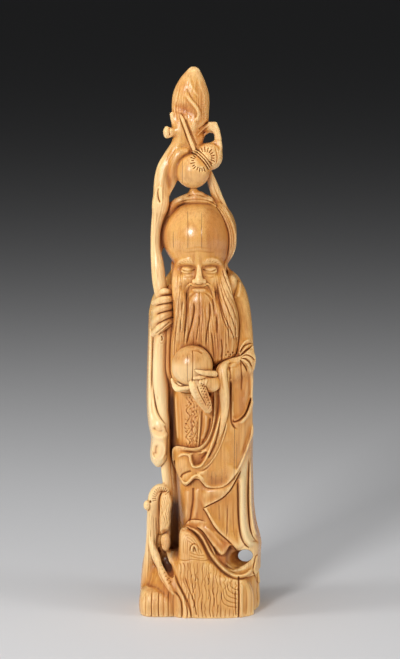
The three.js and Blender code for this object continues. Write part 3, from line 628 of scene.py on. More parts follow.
# scrolls cut into the robe's front band
vv = np.linspace(396, 449, 60)
for n, (cu, amp, rate, ph, h) in enumerate(((188.4, 1.9, 0.5, 0.4, 0.6), (193.2, 1.5, 0.62, 2.2, 0.55), (196.6, 0.8, 0.85, 1.0, 0.4))):
    B.groove(np.c_[cu + amp * np.sin(rate * vv + ph + 1.4 * noise(500 + n)(vv * 0.12)) + 0.5 * noise(510 + n)(vv * 0.5), vv, 0.5 + 0.5 * np.clip(noise(520 + n)(vv * 0.3) + 0.5, 0, 1)], h, 0.42, (0.05, 0.05))
rng = np.random.default_rng(5)
for n in range(60):
    u, v, q, w = rng.uniform(185.6, 197.6), 396.5 + 0.87 * n, rng.uniform(0.2, 2.9), rng.uniform(0.9, 1.9)
    a, b, k = w * math.cos(q), w * math.sin(q), rng.uniform(-0.6, 0.6)
    B.groove([(u - a, v - b), (u + k * b, v - k * a), (u + a, v + b)], rng.uniform(0.3, 0.6), 0.42, (0.15, 0.15))

# -- robe below the sleeve
B.groove([(193.4, 487), (193.2, 500), (191.8, 510), (190.8, 517), (188.8, 524)], 1.2, 1.0, (0.05, 0.15))
B.ridge([(196.6, 488), (196.6, 502), (195.4, 512), (193, 521)], 0.7, 2.0, (0.1, 0.3))
B.ridge([(187, 489), (187, 503), (186, 514), (184.6, 523)], 0.8, 2.2, (0.1, 0.3))
B.mound(206, 496, 4.2, 6, 0.7, 0.3)
B.mound(216, 491.4, 12, 5.5, 2.1, -0.1)
B.mound(217, 482, 13, 4.6, -0.8, -0.1)
FLAP_TOP = [(241, 469), (236, 479), (231, 488), (226.4, 493.6), (221.6, 498), (216, 501.2), (210, 504.2), (203, 508)]
B.cliff(FLAP_TOP, 1.7, 5.0, side=1, under=(1.3, 0.9), ends=(0.08, 0.06))
FLAP_SIDE = [(203.5, 508), (207, 513), (210.4, 519.4), (213.6, 525), (217.4, 530), (222.4, 535), (228.2, 540), (234, 546), (238.4, 551)]
B.cliff(FLAP_SIDE, 1.7, 4.2, side=-1, under=(1.1, 1.0), ends=(0.02, 0.05))
B.ridge([(205, 509), (209.6, 516), (214.4, 524), (220, 531)], 0.7, 1.3, (0.02, 0.3))
B.mound(212, 513, 4, 7, -0.5, -0.5)
B.groove([(227.2, 503), (227.2, 515), (227, 527), (226.6, 538)], 0.7, 0.5, (0.25, 0.15))
B.groove([(219, 502), (219.2, 513), (219, 524)], 0.5, 0.45, (0.2, 0.3))
B.groove([(232.6, 498), (233, 512), (233.6, 528), (235.4, 541)], 0.3, 0.5, (0.3, 0.2))
B.groove([(223, 506), (223.2, 518), (223.4, 532)], 0.25, 0.45, (0.3, 0.3))
B.groove([(237.4, 478), (238, 495), (238.4, 513), (239.4, 528), (241.4, 538), (245.4, 545), (251, 549)], 1.2, 0.75, (0.15, 0.1))
B.ridge([(242.2, 474), (242.0, 490), (242.2, 508), (243.0, 523), (245.0, 534), (248.4, 541.6), (253, 546.6)], 2.0, 2.8, (0.15, 0.06), power=3.5)
B.groove([(247.2, 462), (246.9, 480), (246.8, 498), (247.4, 514), (249.4, 528), (252.4, 537)], 0.9, 1.5, (0.15, 0.1))
B.groove([(248.8, 456), (248.4, 475), (248, 495), (248.4, 512), (250, 528), (253, 537), (257.6, 542)], 1.2, 0.7, (0.08, 0.05))
B.ridge([(251.8, 458), (251.6, 480), (251.6, 498), (252.6, 514), (254.8, 527), (257.6, 536)], 1.3, 2.1, (0.1, 0.05), power=3.0)
B.groove([(255.6, 510), (256.6, 524), (259.4, 534)], 0.8, 0.8)
B.groove([(252, 541), (257, 541.5), (262, 545)], 1.0, 1.0)
# hem flaring over the stump
B.cliff([(184, 527), (188, 521.6), (193, 519.8), (200, 520.4), (208, 522.6)], 0.9, 5, side=1, under=(0.6, 1.0), ends=(0.2, 0.4))
WAVE = [(196, 526), (202.6, 530.6), (208, 538), (213.4, 546), (218, 552.4), (221.6, 555), (225, 553), (228, 548.4), (230.6, 545.2), (234, 546.8), (238.6, 551.6)]
B.cliff(WAVE, 1.4, 4.0, side=-1, under=(1.8, 1.3), ends=(0.1, 0.05))
B.ridge([(204, 526), (212, 533), (219, 541), (224, 547)], 0.9, 2.2, (0.2, 0.2))
B.ridge([(213, 530), (221, 537), (229, 543)], 0.6, 1.6, (0.2, 0.2))
B.patch([(214, 547), (219, 553.5), (222, 555.6), (226, 553), (229.4, 547), (233, 547.6), (238, 551), (240, 558), (240, 566), (234, 569.6), (226, 567), (218.6, 560)], -3.2, edge=1.6)
HEM = [(179, 530.6), (182, 528.2), (187, 527.6), (192, 529), (197, 532), (201.6, 537), (205.6, 544), (209, 551), (213, 557.4), (218, 563.4), (224, 569.4), (230.6, 574), (237, 576), (244, 575.4), (249.6, 572), (254, 567)]
B.ridge(HEM, 2.0, 1.5, (0.03, 0.08))
B.groove([(u - 0.6, v + 2.9) for u, v in HEM[2:-1]], 1.4, 0.95, (0.1, 0.1))
B.groove([(u + 1.4, v - 2.5) for u, v in HEM[4:-3]], 1.0, 0.9, (0.2, 0.15))
B.ridge([(225, 562), (232, 567.6), (240, 569.6), (247, 567)], 0.9, 1.2)

# -- the stump
for off in (2.6, 5.4, 8.2):
    B.groove([(182 + off * 0.6, 556), (181.6 + off * 0.7, 545), (183 + off * 0.6, 536 + off * 0.5), (187.5, 532 + off), (193 - off * 0.15, 535 + off), (198 - off * 0.5, 541.6 + off * 0.6), (202 - off * 0.7, 549 + off * 0.3), (205 - off * 0.8, 556)], 0.36, 0.5, (0.1, 0.1))
B.ridge([(191.6, 552), (192, 547), (194.4, 545.6), (196.4, 548), (196.8, 552)], 0.9, 0.8)
B.groove([(193.6, 552.6), (193.6, 548.6), (195, 548.4), (195.2, 552)], 0.7, 0.5)
B.groove([(189.6, 552), (191, 546), (194.4, 543.4), (197.8, 546.4), (198.8, 552)], 0.6, 0.6)
for v in (552.8, 555.8):
    B.groove([(189, v - 0.8), (194, v + 1.2), (200, v + 2.6), (205.6, v + 2.4)], 0.36, 0.5)
B.groove([(178, 559.6), (186, 560.3), (194, 559.4), (203, 560.4), (211, 559.2)], 0.35, 0.5, (0.15, 0.15))
rng = np.random.default_rng(11)
for n, u in enumerate(np.arange(180, 237.5, 3.7)):
    top = 562 if u < 212 else 563.5 + (u - 212) * 0.72
    foot = 619 if u < 221 else 590 + 0.5 * (u - 221)
    t = np.linspace(0, 1, 18)
    w = noise(100 + n)
    line = np.c_[u + 2.0 * w(9 * t) + 0.7 * noise(130 + n)(34 * t) + (np.where(u < 192, 1, 0) * 3.5 * t), top + (foot - top) * t]
    line = np.c_[line, 0.45 + 0.55 * np.clip(noise(300 + n)(11 * t + 2) + 0.6, 0, 1)]
    B.groove(line, 0.55, rng.uniform(0.36, 0.46), (0.03, 0.02 if foot > 600 else 0.2))
for n in range(16):
    u, v = rng.uniform(186, 219), rng.uniform(570, 606)
    B.groove([(u, v), (u + rng.uniform(-1.2, 1.2), v + 5), (u + rng.uniform(-1.5, 1.5), v + rng.uniform(8, 12))], 0.5, 0.42)
for n in range(5):  # the bark's lines turn aside into the crevice
    u, v = 221.6 + 1.9 * n, 606 - 4.1 * n
    B.groove([(u - 0.8, v - 17 + 2 * n), (u, v - 9), (u + 1.6, v - 3.4), (u + 5.4, v - 0.6), (u + 9.6, v + 0.6), (238, v + 1.6)], 0.5, 0.42, (0.15, 0.05))
for u in (225, 229, 233.4):
    B.groove([(u + 1, 607.5), (u + 0.4, 612), (u, 619)], 0.4, 0.42, (0.3, 0))
B.groove([(238.4, 575), (238.8, 588), (239, 600), (238.6, 619)], 2.0, 0.9, (0.05, 0))
B.groove([(235.6, 590), (235.2, 600), (236, 617)], 0.9, 0.7)
B.ridge([(241.6, 583), (241.4, 596), (241.4, 616)], 1.4, 1.6, (0.15, 0), lean=-0.5)
B.patch([(253.4, 570), (255, 561), (256.6, 556), (262, 556), (264, 582), (258, 582), (255, 575)], 0.8, edge=0.8, under=(0.6, 0.8))
for u in (246, 251, 256):
    B.groove([(u, 586), (u + 0.6, 600), (u, 618)], 0.35, 0.9, (0.3, 0))
B.groove([(181.8, 619), (182, 606), (180.2, 598.6), (176.6, 593.2), (172, 590.6)], 1.2, 1.1, (0.02, 0.2))
for u, h in ((151.6, 0.8), (158.6, 0.9), (168.4, 0.7), (163.6, 0.35), (145.6, 0.35), (173.4, 0.35)):
    B.groove([(u + 0.4, 590), (u, 598), (u - 0.2, 606), (u, 618)], h, 0.55, (0.15, 0))
B.groove([(170, 560), (174.6, 574), (180.6, 588), (187, 600), (190.6, 612), (191.6, 619)], 1.5, 1.3, (0.1, 0))
B.groove([(176, 580), (182.6, 592), (186.6, 604), (187.4, 618)], 0.9, 0.9, (0.2, 0))
B.groove([(184, 574), (188.6, 588), (193.4, 600), (196.4, 614)], 0.8, 0.8, (0.2, 0))

# -- upper robe: shoulder, and the sleeve on the staff's side
B.groove([(237.6, 279), (236.6, 287), (234.4, 293), (233.4, 297)], 0.9, 0.9, (0.1, 0.1))
B.ridge([(240.6, 281), (240, 290), (237.6, 298)], 0.6, 1.6)
B.groove([(226, 268), (228, 276), (232, 284), (235, 292)], 0.5, 1.2)
B.ridge([(150.6, 312), (150, 335), (149.6, 360), (149.4, 385), (149.4, 405), (151, 421), (153, 431)], 1.0, 1.7, (0.05, 0.15))
B.groove([(153.6, 330), (153, 345), (152.6, 360), (152, 378), (152, 392)], 0.9, 0.6, (0.2, 0.25))
B.groove([(154, 384), (154.8, 397), (157, 408), (160.4, 415.4), (165, 419.8), (169, 423.6), (171, 430)], 1.3, 0.6, (0.15, 0.05))
B.ridge([(152.6, 396), (154.4, 410), (158, 418.6), (163, 423), (167.6, 426.6), (169.4, 432)], 0.8, 1.3, (0.2, 0.1))
B.groove([(153.4, 425.6), (156, 429.6), (160, 431), (164.6, 429)], 1.5, 2.6, (0.25, 0.3))
B.ridge([(151.8, 430), (154.6, 435.8), (160, 438.2), (165.6, 436), (169, 431)], 0.8, 1.7, (0.2, 0.2))
B.groove([(159.6, 443.6), (156.6, 447), (156, 451.6), (157.8, 456)], 1.5, 2.3, (0.3, 0.3))
B.ridge([(152.8, 441.6), (151.8, 450), (153.2, 457.4), (157.4, 461.4)], 0.9, 1.0, (0.2, 0.2))
B.ridge([(162.6, 441.4), (165, 448), (164, 456), (160, 461)], 0.7, 1.3, (0.2, 0.2))
B.groove([(168, 434), (167.6, 444), (166.4, 453), (163, 459.6)], 0.7, 0.9)
lay(B, band=7.5, f0=0.14, f1=0.52, front=12)

# ---- head --------------------------------------------------------------------
DOME_C, DOME_R = at(197.5, 236.5, -3), (20.6, 20.6, 20.8)
FX = at(199, 270, -20)[0]  # the face's middle
tube([(199, 268, 0, 11), (199, 284, 0, 13), (200, 296, 0, 15)], k=3)
egg((200.4, 234, 3.4), (21.3, 19.2, 22.7), k=1, reach=3)
egg(tuple(DOME_C), DOME_R, k=0.5, space=True, moat=(1.2, 0.6))
hood = []
for u, v, r, lift in [
    (167.6, 214, 0.8, 0.4), (170.6, 209.4, 1.1, 0.4), (176, 206, 1.35, 0.4), (184, 203.4, 1.5, 0.3), (192, 202, 1.55, 0.2), (200, 201.6, 1.55, 0.2), (208, 202, 1.6, 0.2),
    (214, 204.4, 1.25, 0.3), (219, 208.8, 1.2, 0.4), (223.6, 215.4, 1.2, 0.5), (227.2, 223.2, 1.2, 0.6), (229.8, 231, 1.2, 0.7), (230.8, 239, 1.2, 0.8), (230.4, 247, 1.2, 0.8),
    (228.6, 254, 1.15, 0.8), (226, 260, 1.1, 0.8), (223.4, 265, 1.0, 0.8),
]:
    hood.append((u, v, on_egg(DOME_C, DOME_R, u, v, lift) + 0.4, r))
tube(hood, k=0.7, flat=1.2, moat=(1.0, 0.7))
tube([(u + du, v + dv, y + 2.6, r) for (u, v, y, _), (du, dv, r) in zip(hood[1:], [
    (0.6, -1, 1.3), (0.2, -2.6, 1.35), (0, -3, 1.35), (0, -3, 1.35), (0, -3, 1.35), (0.8, -3, 1.35), (1.6, -2.6, 1.4), (2.4, -2.0, 1.5), (2.6, -1.4, 1.6), (2.7, -0.8, 1.7), (2.7, -0.2, 1.8),
    (2.7, 0.4, 1.8), (2.4, 0.8, 1.7), (1.8, 1.0, 1.5), (1.0, 0.8, 1.2), (0.4, 0.4, 0.8),
])], k=1.4)
# the hood's back edge on the staff's side, and its folded peak
tube([(170, 213, -3, 2.2), (171.8, 207.6, -3, 2.5), (175.8, 203, -2, 2.5), (181, 200, -2, 2.4), (187, 197.6, -3, 2.4)], k=1.2)
egg((197.6, 199.6, -1.6), (9.4, 6.6, 4.0), (0, 0.06, 0), k=1.2)
egg((196.4, 194.6, -2.6), (4.9, 4.6, 2.5), (0, 0.08, 0), k=1.4)
tube([(193.6, 193, -3, 3), (193.4, 189, -4, 2.0), (193, 186, -5, 2.2)], k=1.0)
# ivory left between the staff and the head
tube([(167.4, 206, 0, 3), (165.4, 214, -1, 3.2), (162.8, 224, -1.6, 3.2), (161.4, 234, -2, 3.0), (160.6, 243, -2, 2.6), (158.6, 252, -3, 1.8)], k=1.2)
# cloth of the hood down behind the jaw to the shoulder
tube([(220.6, 258, 0, 4), (219.6, 268, 0, 5), (223, 279, 0, 6)], k=2)
# collar folded at the neck
egg((228.6, 284.6, -6.6), (4.6, 6.2, 6.2), (0, 0.4, 0), k=3)
# the hood's cloth goes on down to the shoulders behind, in long folds
egg((198.8, 264, 8.2), (15.4, 15.0, 15), k=5, reach=7)
HC, HR = at(200.4, 234, 3.4), np.array((21.3, 19.2, 22.7))
for q, r in ((-62, 1.5), (-40, 1.9), (-16, 1.6), (8, 2.0), (30, 1.5), (54, 1.9), (74, 1.5)):
    a = math.radians(q)
    pts = []
    for e in (66, 48, 28, 8, -12, -30):
        b = math.radians(e)
        w = HR * (math.cos(b) * math.sin(a), math.cos(b) * math.cos(a), math.sin(b)) * 0.965
        pts.append((*(HC + w), r * (0.3 + 0.7 * smooth((66 - e) / 40))))
    x, y = math.sin(a), math.cos(a)
    pts.append((HC[0] + 15.2 * x, HC[1] + 5 + 12.6 * y, HC[2] - 21, r * 0.75))
    pts.append((HC[0] + 16 * x, HC[1] + 3 + 9.5 * y, HC[2] - 31, r * 0.4))
    tube(pts, k=3.0, space=True)
tube([(179.6, 260, 3, 4), (178.6, 271, 3, 4.4), (175, 281, 3, 5)], k=2)


def F(x, y, z):  # a point of the face, x from its middle line
    return (FX + x, y, z)


egg(F(0, -6.6, 203), (14.0, 14.2, 19.5), k=3.5, space=True)
egg(F(0, -8.6, 215.6), (14.6, 12.6, 7.0), k=4, space=True)
egg(F(0, -10.5, 194), (9.8, 11.2, 8.5), k=3, space=True)
for s in (-1, 1):
    # cheekbone, a wide shallow socket, and the eye under its lowered lid
    egg(F(7.8 * s, -15.2, 202.8), (5.2, 5.0, 4.4), (0, 0.3 * s, 0), k=2.6, space=True)
    egg(F(6.3 * s, -22.6, 209.3), (4.7, 3.5, 2.5), (0, 0.10 * s, 0), k=2.2, space=True, cut=True)
    egg(F(6.3 * s, -17.0, 208.5), (4.3, 3.3, 2.7), (0, 0.08 * s, 0), k=0.8, space=True)
    tube([(FX + 2.4 * s, -19.0, 209.2, 0.35), (FX + 4.2 * s, -20.1, 208.3, 0.6), (FX + 6.3 * s, -20.5, 207.9, 0.65), (FX + 8.4 * s, -19.8, 208.2, 0.6), (FX + 10.5 * s, -17.6, 209.0, 0.35)], k=0.2, space=True, cut=True, fine=0.8)
    tube([(FX + 2.8 * s, -18.8, 210.6, 0.15), (FX + 4.6 * s, -19.7, 211.5, 0.24), (FX + 6.6 * s, -19.8, 211.7, 0.24), (FX + 8.9 * s, -18.6, 211.1, 0.2), (FX + 10.6 * s, -16.9, 209.9, 0.15)], k=0.4, space=True, cut=True, fine=0.8)
    tube([(FX + 3.4 * s, -18.9, 206.2, 0.3), (FX + 5.6 * s, -19.6, 205.5, 0.5), (FX + 8.0 * s, -18.9, 205.7, 0.4), (FX + 9.8 * s, -17.4, 206.6, 0.2)], k=0.8, space=True, fine=0.8)
    tube([(FX + 3.8 * s, -20.2, 204.9, 0.15), (FX + 5.8 * s, -20.6, 204.3, 0.25), (FX + 8.2 * s, -19.8, 204.7, 0.15)], k=0.6, space=True, cut=True, fine=0.8)
    # brow bone and its tuft of hair, drooping outwards
    tube([(FX + 3.0 * s, -19.6, 213.6, 1.2), (FX + 6.4 * s, -19.4, 214.4, 1.4), (FX + 9.8 * s, -17.2, 213.8, 1.2), (FX + 12.2 * s, -14.6, 211.8, 0.9)], k=2.2, space=True)
    tube([(FX + 2.4 * s, -20.5, 213.6, 0.5), (FX + 4.8 * s, -21.0, 214.8, 0.85), (FX + 7.6 * s, -20.2, 215.2, 1.0), (FX + 10.2 * s, -18.3, 214.3, 0.8), (FX + 12.2 * s, -16.1, 212.4, 0.4)], k=0.9, space=True)
    # wing of the nose, its opening, the fold beside the mouth, lines at the eye, ear
    egg(F(2.6 * s, -21.7, 202.4), (1.6, 2.2, 1.5), k=1.1, space=True)
    egg(F(1.5 * s, -23.9, 200.9), (0.7, 0.9, 0.5), k=0.3, space=True, cut=True)
    tube([(FX + 4.3 * s, -21.6, 203.6, 0.2), (FX + 5.4 * s, -21.2, 201.4, 0.42), (FX + 6.9 * s, -20.2, 198.8, 0.45), (FX + 8.0 * s, -19.0, 196.0, 0.2)], k=1.0, space=True, cut=True)
    for a, b in ((209.4, 210.6), (208.4, 208.4), (207.4, 206.2)):
        tube([(FX + 10.4 * s, -17.4, a, 0.12), (FX + 11.8 * s, -16.0, (a + b) / 2, 0.22), (FX + 13.0 * s, -14.4, b, 0.1)], k=0.3, space=True, cut=True, fine=0.8)
    egg(F(14.9 * s, -3.6, 207.0), (2.0, 3.7, 5.6), (0.15, 0.1 * s, 0), k=0.8, space=True)
    egg(F(14.8 * s, -4.6, 200.6), (1.6, 2.1, 3.6), k=1.0, space=True)
    egg(F(16.6 * s, -4.4, 207.2), (1.0, 2.1, 3.5), (0.15, 0.1 * s, 0), k=0.5, space=True, cut=True)
# nose
tube([(FX, -20.2, 212.6, 1.3), (FX, -21.4, 209.4, 1.3), (FX, -22.6, 206.2, 1.7), (FX, -23.6, 203.9, 2.2)], k=1.4, space=True, fine=0.8)
egg(F(0, -23.7, 202.8), (2.4, 2.2, 1.9), k=0.8, space=True)
# faint level lines on the forehead
for z, w in ((219.8, 8.6), (222.2, 7.4)):
    pts = []
    for t in np.linspace(-1, 1, 9):
        x, zz = FX + w * t, z + 0.5 * math.cos(3.1 * t)
        q = 1 - ((x - DOME_C[0]) / DOME_R[0]) ** 2 - ((zz - DOME_C[2]) / DOME_R[2]) ** 2
        yy = min(DOME_C[1] - DOME_R[1] * math.sqrt(max(q, 0)), -8.6 - 12.6 * math.sqrt(max(1 - ((x - FX) / 14.6) ** 2 - ((zz - 215.6) / 7.0) ** 2, 0)))
        pts.append((x, yy - 0.4, zz, 0.42 * (1 - 0.75 * t * t)))
    tube(pts, k=0.6, space=True, cut=True)
# closed mouth, lips and chin
egg(F(0, -19.8, 200.2), (5.4, 2.7, 1.8), k=1.4, space=True)
egg(F(0, -20.7, 197.2), (4.0, 2.5, 1.3), k=0.6, space=True)
tube([(FX - 5.4, -20.0, 199.9, 0.3), (FX - 2.8, -21.9, 198.9, 0.48), (FX, -22.5, 198.6, 0.5), (FX + 2.8, -21.9, 198.9, 0.48), (FX + 5.4, -20.0, 199.9, 0.3)], k=0.3, space=True, cut=True, fine=0.8)

# ---- beard, moustache and side hair -------------------------------------------
BEARD = [
    [291, 177, 229, -16, -3, 2.3],
    [297, 174.6, 232.4, -20.5, -4, 2.4],
    [304, 173.6, 235.4, -23.6, -5, 2.4],
    [314, 173.4, 238, -25.6, -6, 2.5],
    [326, 172.4, 238.8, -26.6, -6, 2.5],
    [340, 171, 238, -27, -7, 2.5],
    [350, 170.6, 236.8, -27.2, -8, 2.5],
    [356, 170.5, 234, -27.2, -9, 2.5],
    [360, 170.5, 224, -27.2, -10, 2.5],
    [365, 170.6, 216, -27, -10, 2.5],
    [371, 170.8, 212, -26.4, -11, 2.4],
    [378, 172.6, 206, -25, -12, 2.3],
    [385, 177, 199, -23.8, -14, 2.2],
    [391, 182, 195, -22.6, -16, 2.1],
]
loft(BEARD, k=0.6, mid=-17, moat=(1.2, 0.8), reach=3)
# chin tuft, side hair from the temples
egg((200.6, 304, -19.6), (8.6, 5.0, 8.6), k=2.5)
tube([(179.6, 261, -10.5, 2.0), (178.4, 272, -12.5, 3.2), (178.8, 287, -15.6, 4.2), (180, 302, -19, 4.2), (180.4, 320, -21.6, 3.6), (180, 338, -23, 2)], k=2.2)
tube([(218.4, 260, -10.5, 2.0), (220.4, 272, -12.4, 3.2), (223, 284, -15.2, 4.0), (226, 299, -18.6, 4.2), (229, 316, -21.2, 3.8), (231, 334, -22.6, 2)], k=2.2)
# moustache: one long tress each side
for s in (-1, 1):
    tube([
        (FX + 2.6 * s, -21.6, 201.2, 0.3), (FX + 4.6 * s, -20.7, 200.8, 0.6), (FX + 6.4 * s, -19.4, 199.4, 0.85), (FX + 7.9 * s, -18.5, 196.2, 1.0), (FX + 8.8 * s, -20.9, 191, 1.1),
        (FX + 9.6 * s, -23.6, 186, 1.05), (FX + 10 * s, -25.1, 180, 0.9), (FX + 10.2 * s, -25.8, 173, 0.5),
    ], k=0.5, space=True, moat=(0.7, 0.3))
for u in (185.4, 213.4):
    egg((u, 286, -14.2), (4.2, 4.4, 6.5), k=2.5)

# ---- staff ---------------------------------------------------------------------
tube([
    (182, 118, -3, 4.6), (181.4, 125, -3.6, 5.0), (181.6, 132, -4, 5.0), (180.8, 138.6, -4, 4.8), (178.4, 145.2, -4, 4.5), (173.9, 152, -4, 4.3), (168.9, 159.2, -4, 4.15), (165, 167, -4.2, 4.5), (162.7, 176, -4.5, 4.65),
    (161.8, 184, -4.8, 4.75), (161.4, 192, -5, 4.8), (160.8, 200, -5.5, 4.7), (159.6, 209, -6, 4.4), (157.6, 219, -6.5, 3.6), (155.9, 229, -7, 3.0), (155.3, 240, -7.5, 2.8),
    (155.5, 250, -8, 2.95), (156.9, 260, -9, 3.6), (158, 270, -10, 4.0), (159, 280, -11, 4.1), (161, 291, -12, 4.2), (162.6, 302, -13, 4.0), (162.8, 320, -13, 4.0), (162, 334, -13, 4.4),
    (161.2, 350, -13, 4.65), (160.4, 368, -13, 4.6), (160.8, 384, -13, 4.5), (162, 399, -13, 3.9), (163.2, 411, -12.8, 3.2), (165, 422, -12.5, 2.8), (165.4, 440, -12.2, 2.8),
    (165.6, 458, -12, 2.95), (166.2, 470, -11.8, 3.0), (167.2, 480, -11.6, 2.9), (168, 490, -11.4, 2.85), (168.4, 505, -11, 2.6), (168.4, 525, -10.6, 2.5), (168, 548, -9, 3.2),
], k=0.5, flat=1.0, moat=(1.6, 0.5), fine=2.0)
tube(GAP, k=0.4, flat=2.4, cut=True)
egg((160.6, 204, -7.5), (4.4, 4, 6), k=2.5)
egg((161.4, 339, -16.4), (2.5, 1.9, 3.4), k=1.2)
egg((159.4, 194, -9.0), (2.4, 1.8, 5.0), (0, 0.1, 0), k=1.0)

# ---- bud, stubs, cord, gourd ----------------------------------------------------
BUD = [
    [66.6, 191.4, 195.4, -2.6, 0.6, 2], [68.4, 188.8, 198.6, -4, 2, 2], [72, 185.4, 200.8, -5.6, 3.6, 2], [77, 181, 203.3, -7.2, 5.2, 2.05], [82, 177.8, 205.4, -8.2, 6.2, 2.1],
    [88, 174.8, 207.4, -9.1, 7.1, 2.1], [95, 172.6, 209, -9.7, 7.8, 2.1], [103, 171.8, 209.4, -10, 8, 2.1], [111, 171.8, 209, -10, 8, 2.1], [118, 172.4, 208.6, -9.6, 7.6, 2.1],
    [124, 174, 207.8, -9.2, 7, 2], [130, 180, 205.6, -8.6, 6, 2], [136, 187, 200.6, -7.6, 4, 2], [141, 192, 197.8, -6.4, 1.5, 2],
]
loft(BUD, k=1.2, mid=-1)
tube([(180, 130.4, -4.6, 3.6), (176.6, 130.8, -5.4, 2.8), (174, 131.2, -6, 2.3), (171.8, 131.4, -6.4, 2.15), (169.6, 131.6, -6.7, 2.4), (168, 131.8, -6.9, 2.9)], k=1.2, fine=0.6)
tube([(166.6, 135.8, -7, 1.3), (169, 135.2, -6.8, 1.5), (171.8, 133.8, -6.4, 1.4)], k=1.4)
loft([
    [126.4, 165.4, 167.8, -8.8, -5.2, 2.4], [128.4, 164.5, 168.7, -10, -4.2, 2.6], [131.8, 164.2, 169.2, -10.5, -3.6, 2.8], [135.2, 164.8, 169.0, -10, -4.2, 2.6], [137.4, 165.8, 168.2, -8.6, -5.2, 2.4],
], k=0.9, mid=-7)
tube([(178, 126, -4, 3.4), (175.6, 122, -4.6, 2.5), (173.6, 118, -5, 1.9), (172.2, 114.4, -5.2, 1.4)], k=1.6)
LOW, HIGH = at(192.8, 170.8, -6), at(208.6, 156.6, -5)
egg(tuple(LOW), (10.1, 10.1, 10.3), k=0.4, space=True, moat=(1.0, 0.5))
egg(tuple(HIGH), (8.3, 8.2, 8.2), k=2.2, space=True)
egg((198.2, 137, -2.4), (3.3, 4.2, 6), k=1.5)
tube([(202, 127.6, -2, 2.9), (208, 127.6, -2.4, 2.9), (213, 128.4, -3, 2.8)], k=1.0)
egg((190.6, 142, -4.4), (5.4, 4.4, 6.4), (0, -0.3, 0), k=2.5)
tube([(181, 115, -8.4, 0.9), (182.6, 119, -8.5, 1.1), (185.4, 127, -8.3, 1.15), (188.4, 135.4, -8.2, 1.15), (191.4, 143, -8.9, 1.15), (194.4, 150, -8.2, 1.1), (196.2, 153, -8.4, 0.9)], k=0.2, moat=(1.2, 0.5))
# crescent from the gourd's top back to the bud
tube([(213.4, 162, -4, 3.8), (216.4, 156, -4.6, 3.1), (218.4, 148, -4.8, 2.4), (218.3, 141, -4.6, 1.95), (217.2, 134, -4.4, 1.9), (215.6, 128.6, -4.4, 2.0), (213, 126.6, -4.4, 2.2), (209.6, 126.8, -4.2, 2.3)], k=0.8)
tube([(202.2, 138.4, -2.6, 0.9), (203.8, 134.8, -2.6, 1.0), (207.6, 131.8, -2.6, 0.9)], k=0.8)
tube([(217.4, 138, -4.6, 1.2), (215.4, 142.4, -4.6, 1.4), (211, 145, -4.6, 1.6)], k=0.8)
loft([[121.9, 208.6, 216.6, -6.4, -2.2, 4], [125, 207.4, 217.9, -6.8, -1.8, 4], [128.6, 209, 219, -7, -1.6, 3.6], [133, 213.6, 220.2, -6.8, -2, 3.2], [139, 215, 221.5, -6.8, -2.4, 2.8]], k=0.5, mid=-4)
# collar of the branch round the gourd, closed behind
tube([(185, 150.6, -7.4, 2.0), (179.6, 153, -7.6, 2.6), (175.4, 158.4, -7.4, 2.8), (173.2, 165.6, -7, 3.0), (172.8, 173.6, -6.6, 3.0), (173, 180, -6, 2.4), (171.4, 186, -5.4, 1.7), (168, 192, -5, 1.6)], k=1.8)
tube([(190, 151, -2, 2.4), (182, 154.6, -1, 3), (176.4, 161, -1, 3), (174.6, 171, -1, 3), (174.8, 177.4, -1.4, 2.3), (173.4, 181, -2.6, 1.4)], k=1.5)
# prop from the gourd to the hood
tube([(208, 171, -1, 2.0), (210.4, 177.6, -0.6, 2.5), (213.4, 186, 0.4, 2.9), (216.2, 194, 1.4, 3.1), (219.6, 202, 2.6, 3.1), (223.8, 209.6, 3.8, 2.7), (227.6, 215.6, 5, 2.2), (230, 221, 6, 1.7)], k=1.0)

# ---- peach, hands and leaf ------------------------------------------------------
PEACH_C, PEACH_R = at(192.2, 366, -30), (12.1, 9.2, 12.2)
tube([(172.2, 379.6, -29, 0.9), (174.2, 385, -31, 1.3), (176.8, 389.2, -32.4, 1.45), (181.6, 388.6, -34, 1.45), (188, 387.6, -34.6, 1.2)], k=0.5, moat=(0.9, 0.5))
egg((181, 386.4, -29.6), (5.0, 4.4, 3.4), k=1.0)
egg(tuple(PEACH_C), PEACH_R, k=0.15, space=True, moat=(1.1, 0.8))
# the hand: back, thumb on the peach, bent fingers below; the cuff's rim in front of the wrist
tube([(220, 381.8, -25, 3.8), (216.2, 382, -28.8, 4.6), (211, 382.2, -32, 4.9), (206, 381.6, -34.4, 4.2)], k=0.8, flat=0.9, moat=(0.8, 0.5))
egg((211.4, 386, -32.6), (4.4, 3.6, 3.6), k=1.2)
tube([(227.4, 362.8, -26.4, 1.6), (223.8, 366.4, -29.0, 2.2), (222.2, 372, -30.4, 2.7), (222.4, 380, -30.8, 2.9), (223.8, 390, -30.2, 2.9), (224.8, 400, -29.4, 2.7), (224.6, 411, -28.6, 2.3), (223, 422, -27.8, 1.8), (220.6, 433, -27.2, 1.2), (217.6, 442, -26.8, 0.8)], k=0.9, moat=(0.6, 0.3))
tube([(214.4, 374, -33.4, 1.9), (209.4, 373.4, -36.4, 1.75), (204, 373, -38.6, 1.5), (199, 371.6, -39.6, 1.15), (195.4, 370.4, -39.6, 0.6)], k=0.5, moat=(0.8, 0.5))
tube([(208, 376.6, -34.6, 1.5), (203, 376.8, -37.2, 1.4), (198, 377.6, -38.2, 1.2), (194.4, 378.4, -38, 0.8)], k=0.6)
for i in range(3):
    u = 205.6 - 2.5 * i
    tube([(207 - i, 379.2 + i, -35, 1.4), (u, 380.6 + 0.4 * i, -37.6 - 0.2 * i, 1.3), (u - 0.9, 384.2 + 0.4 * i, -37.4 - 0.2 * i, 1.2), (u - 1.2, 387.4, -35.6, 1.0)], k=0.3, moat=(0.5, 0.3), fine=0.8)
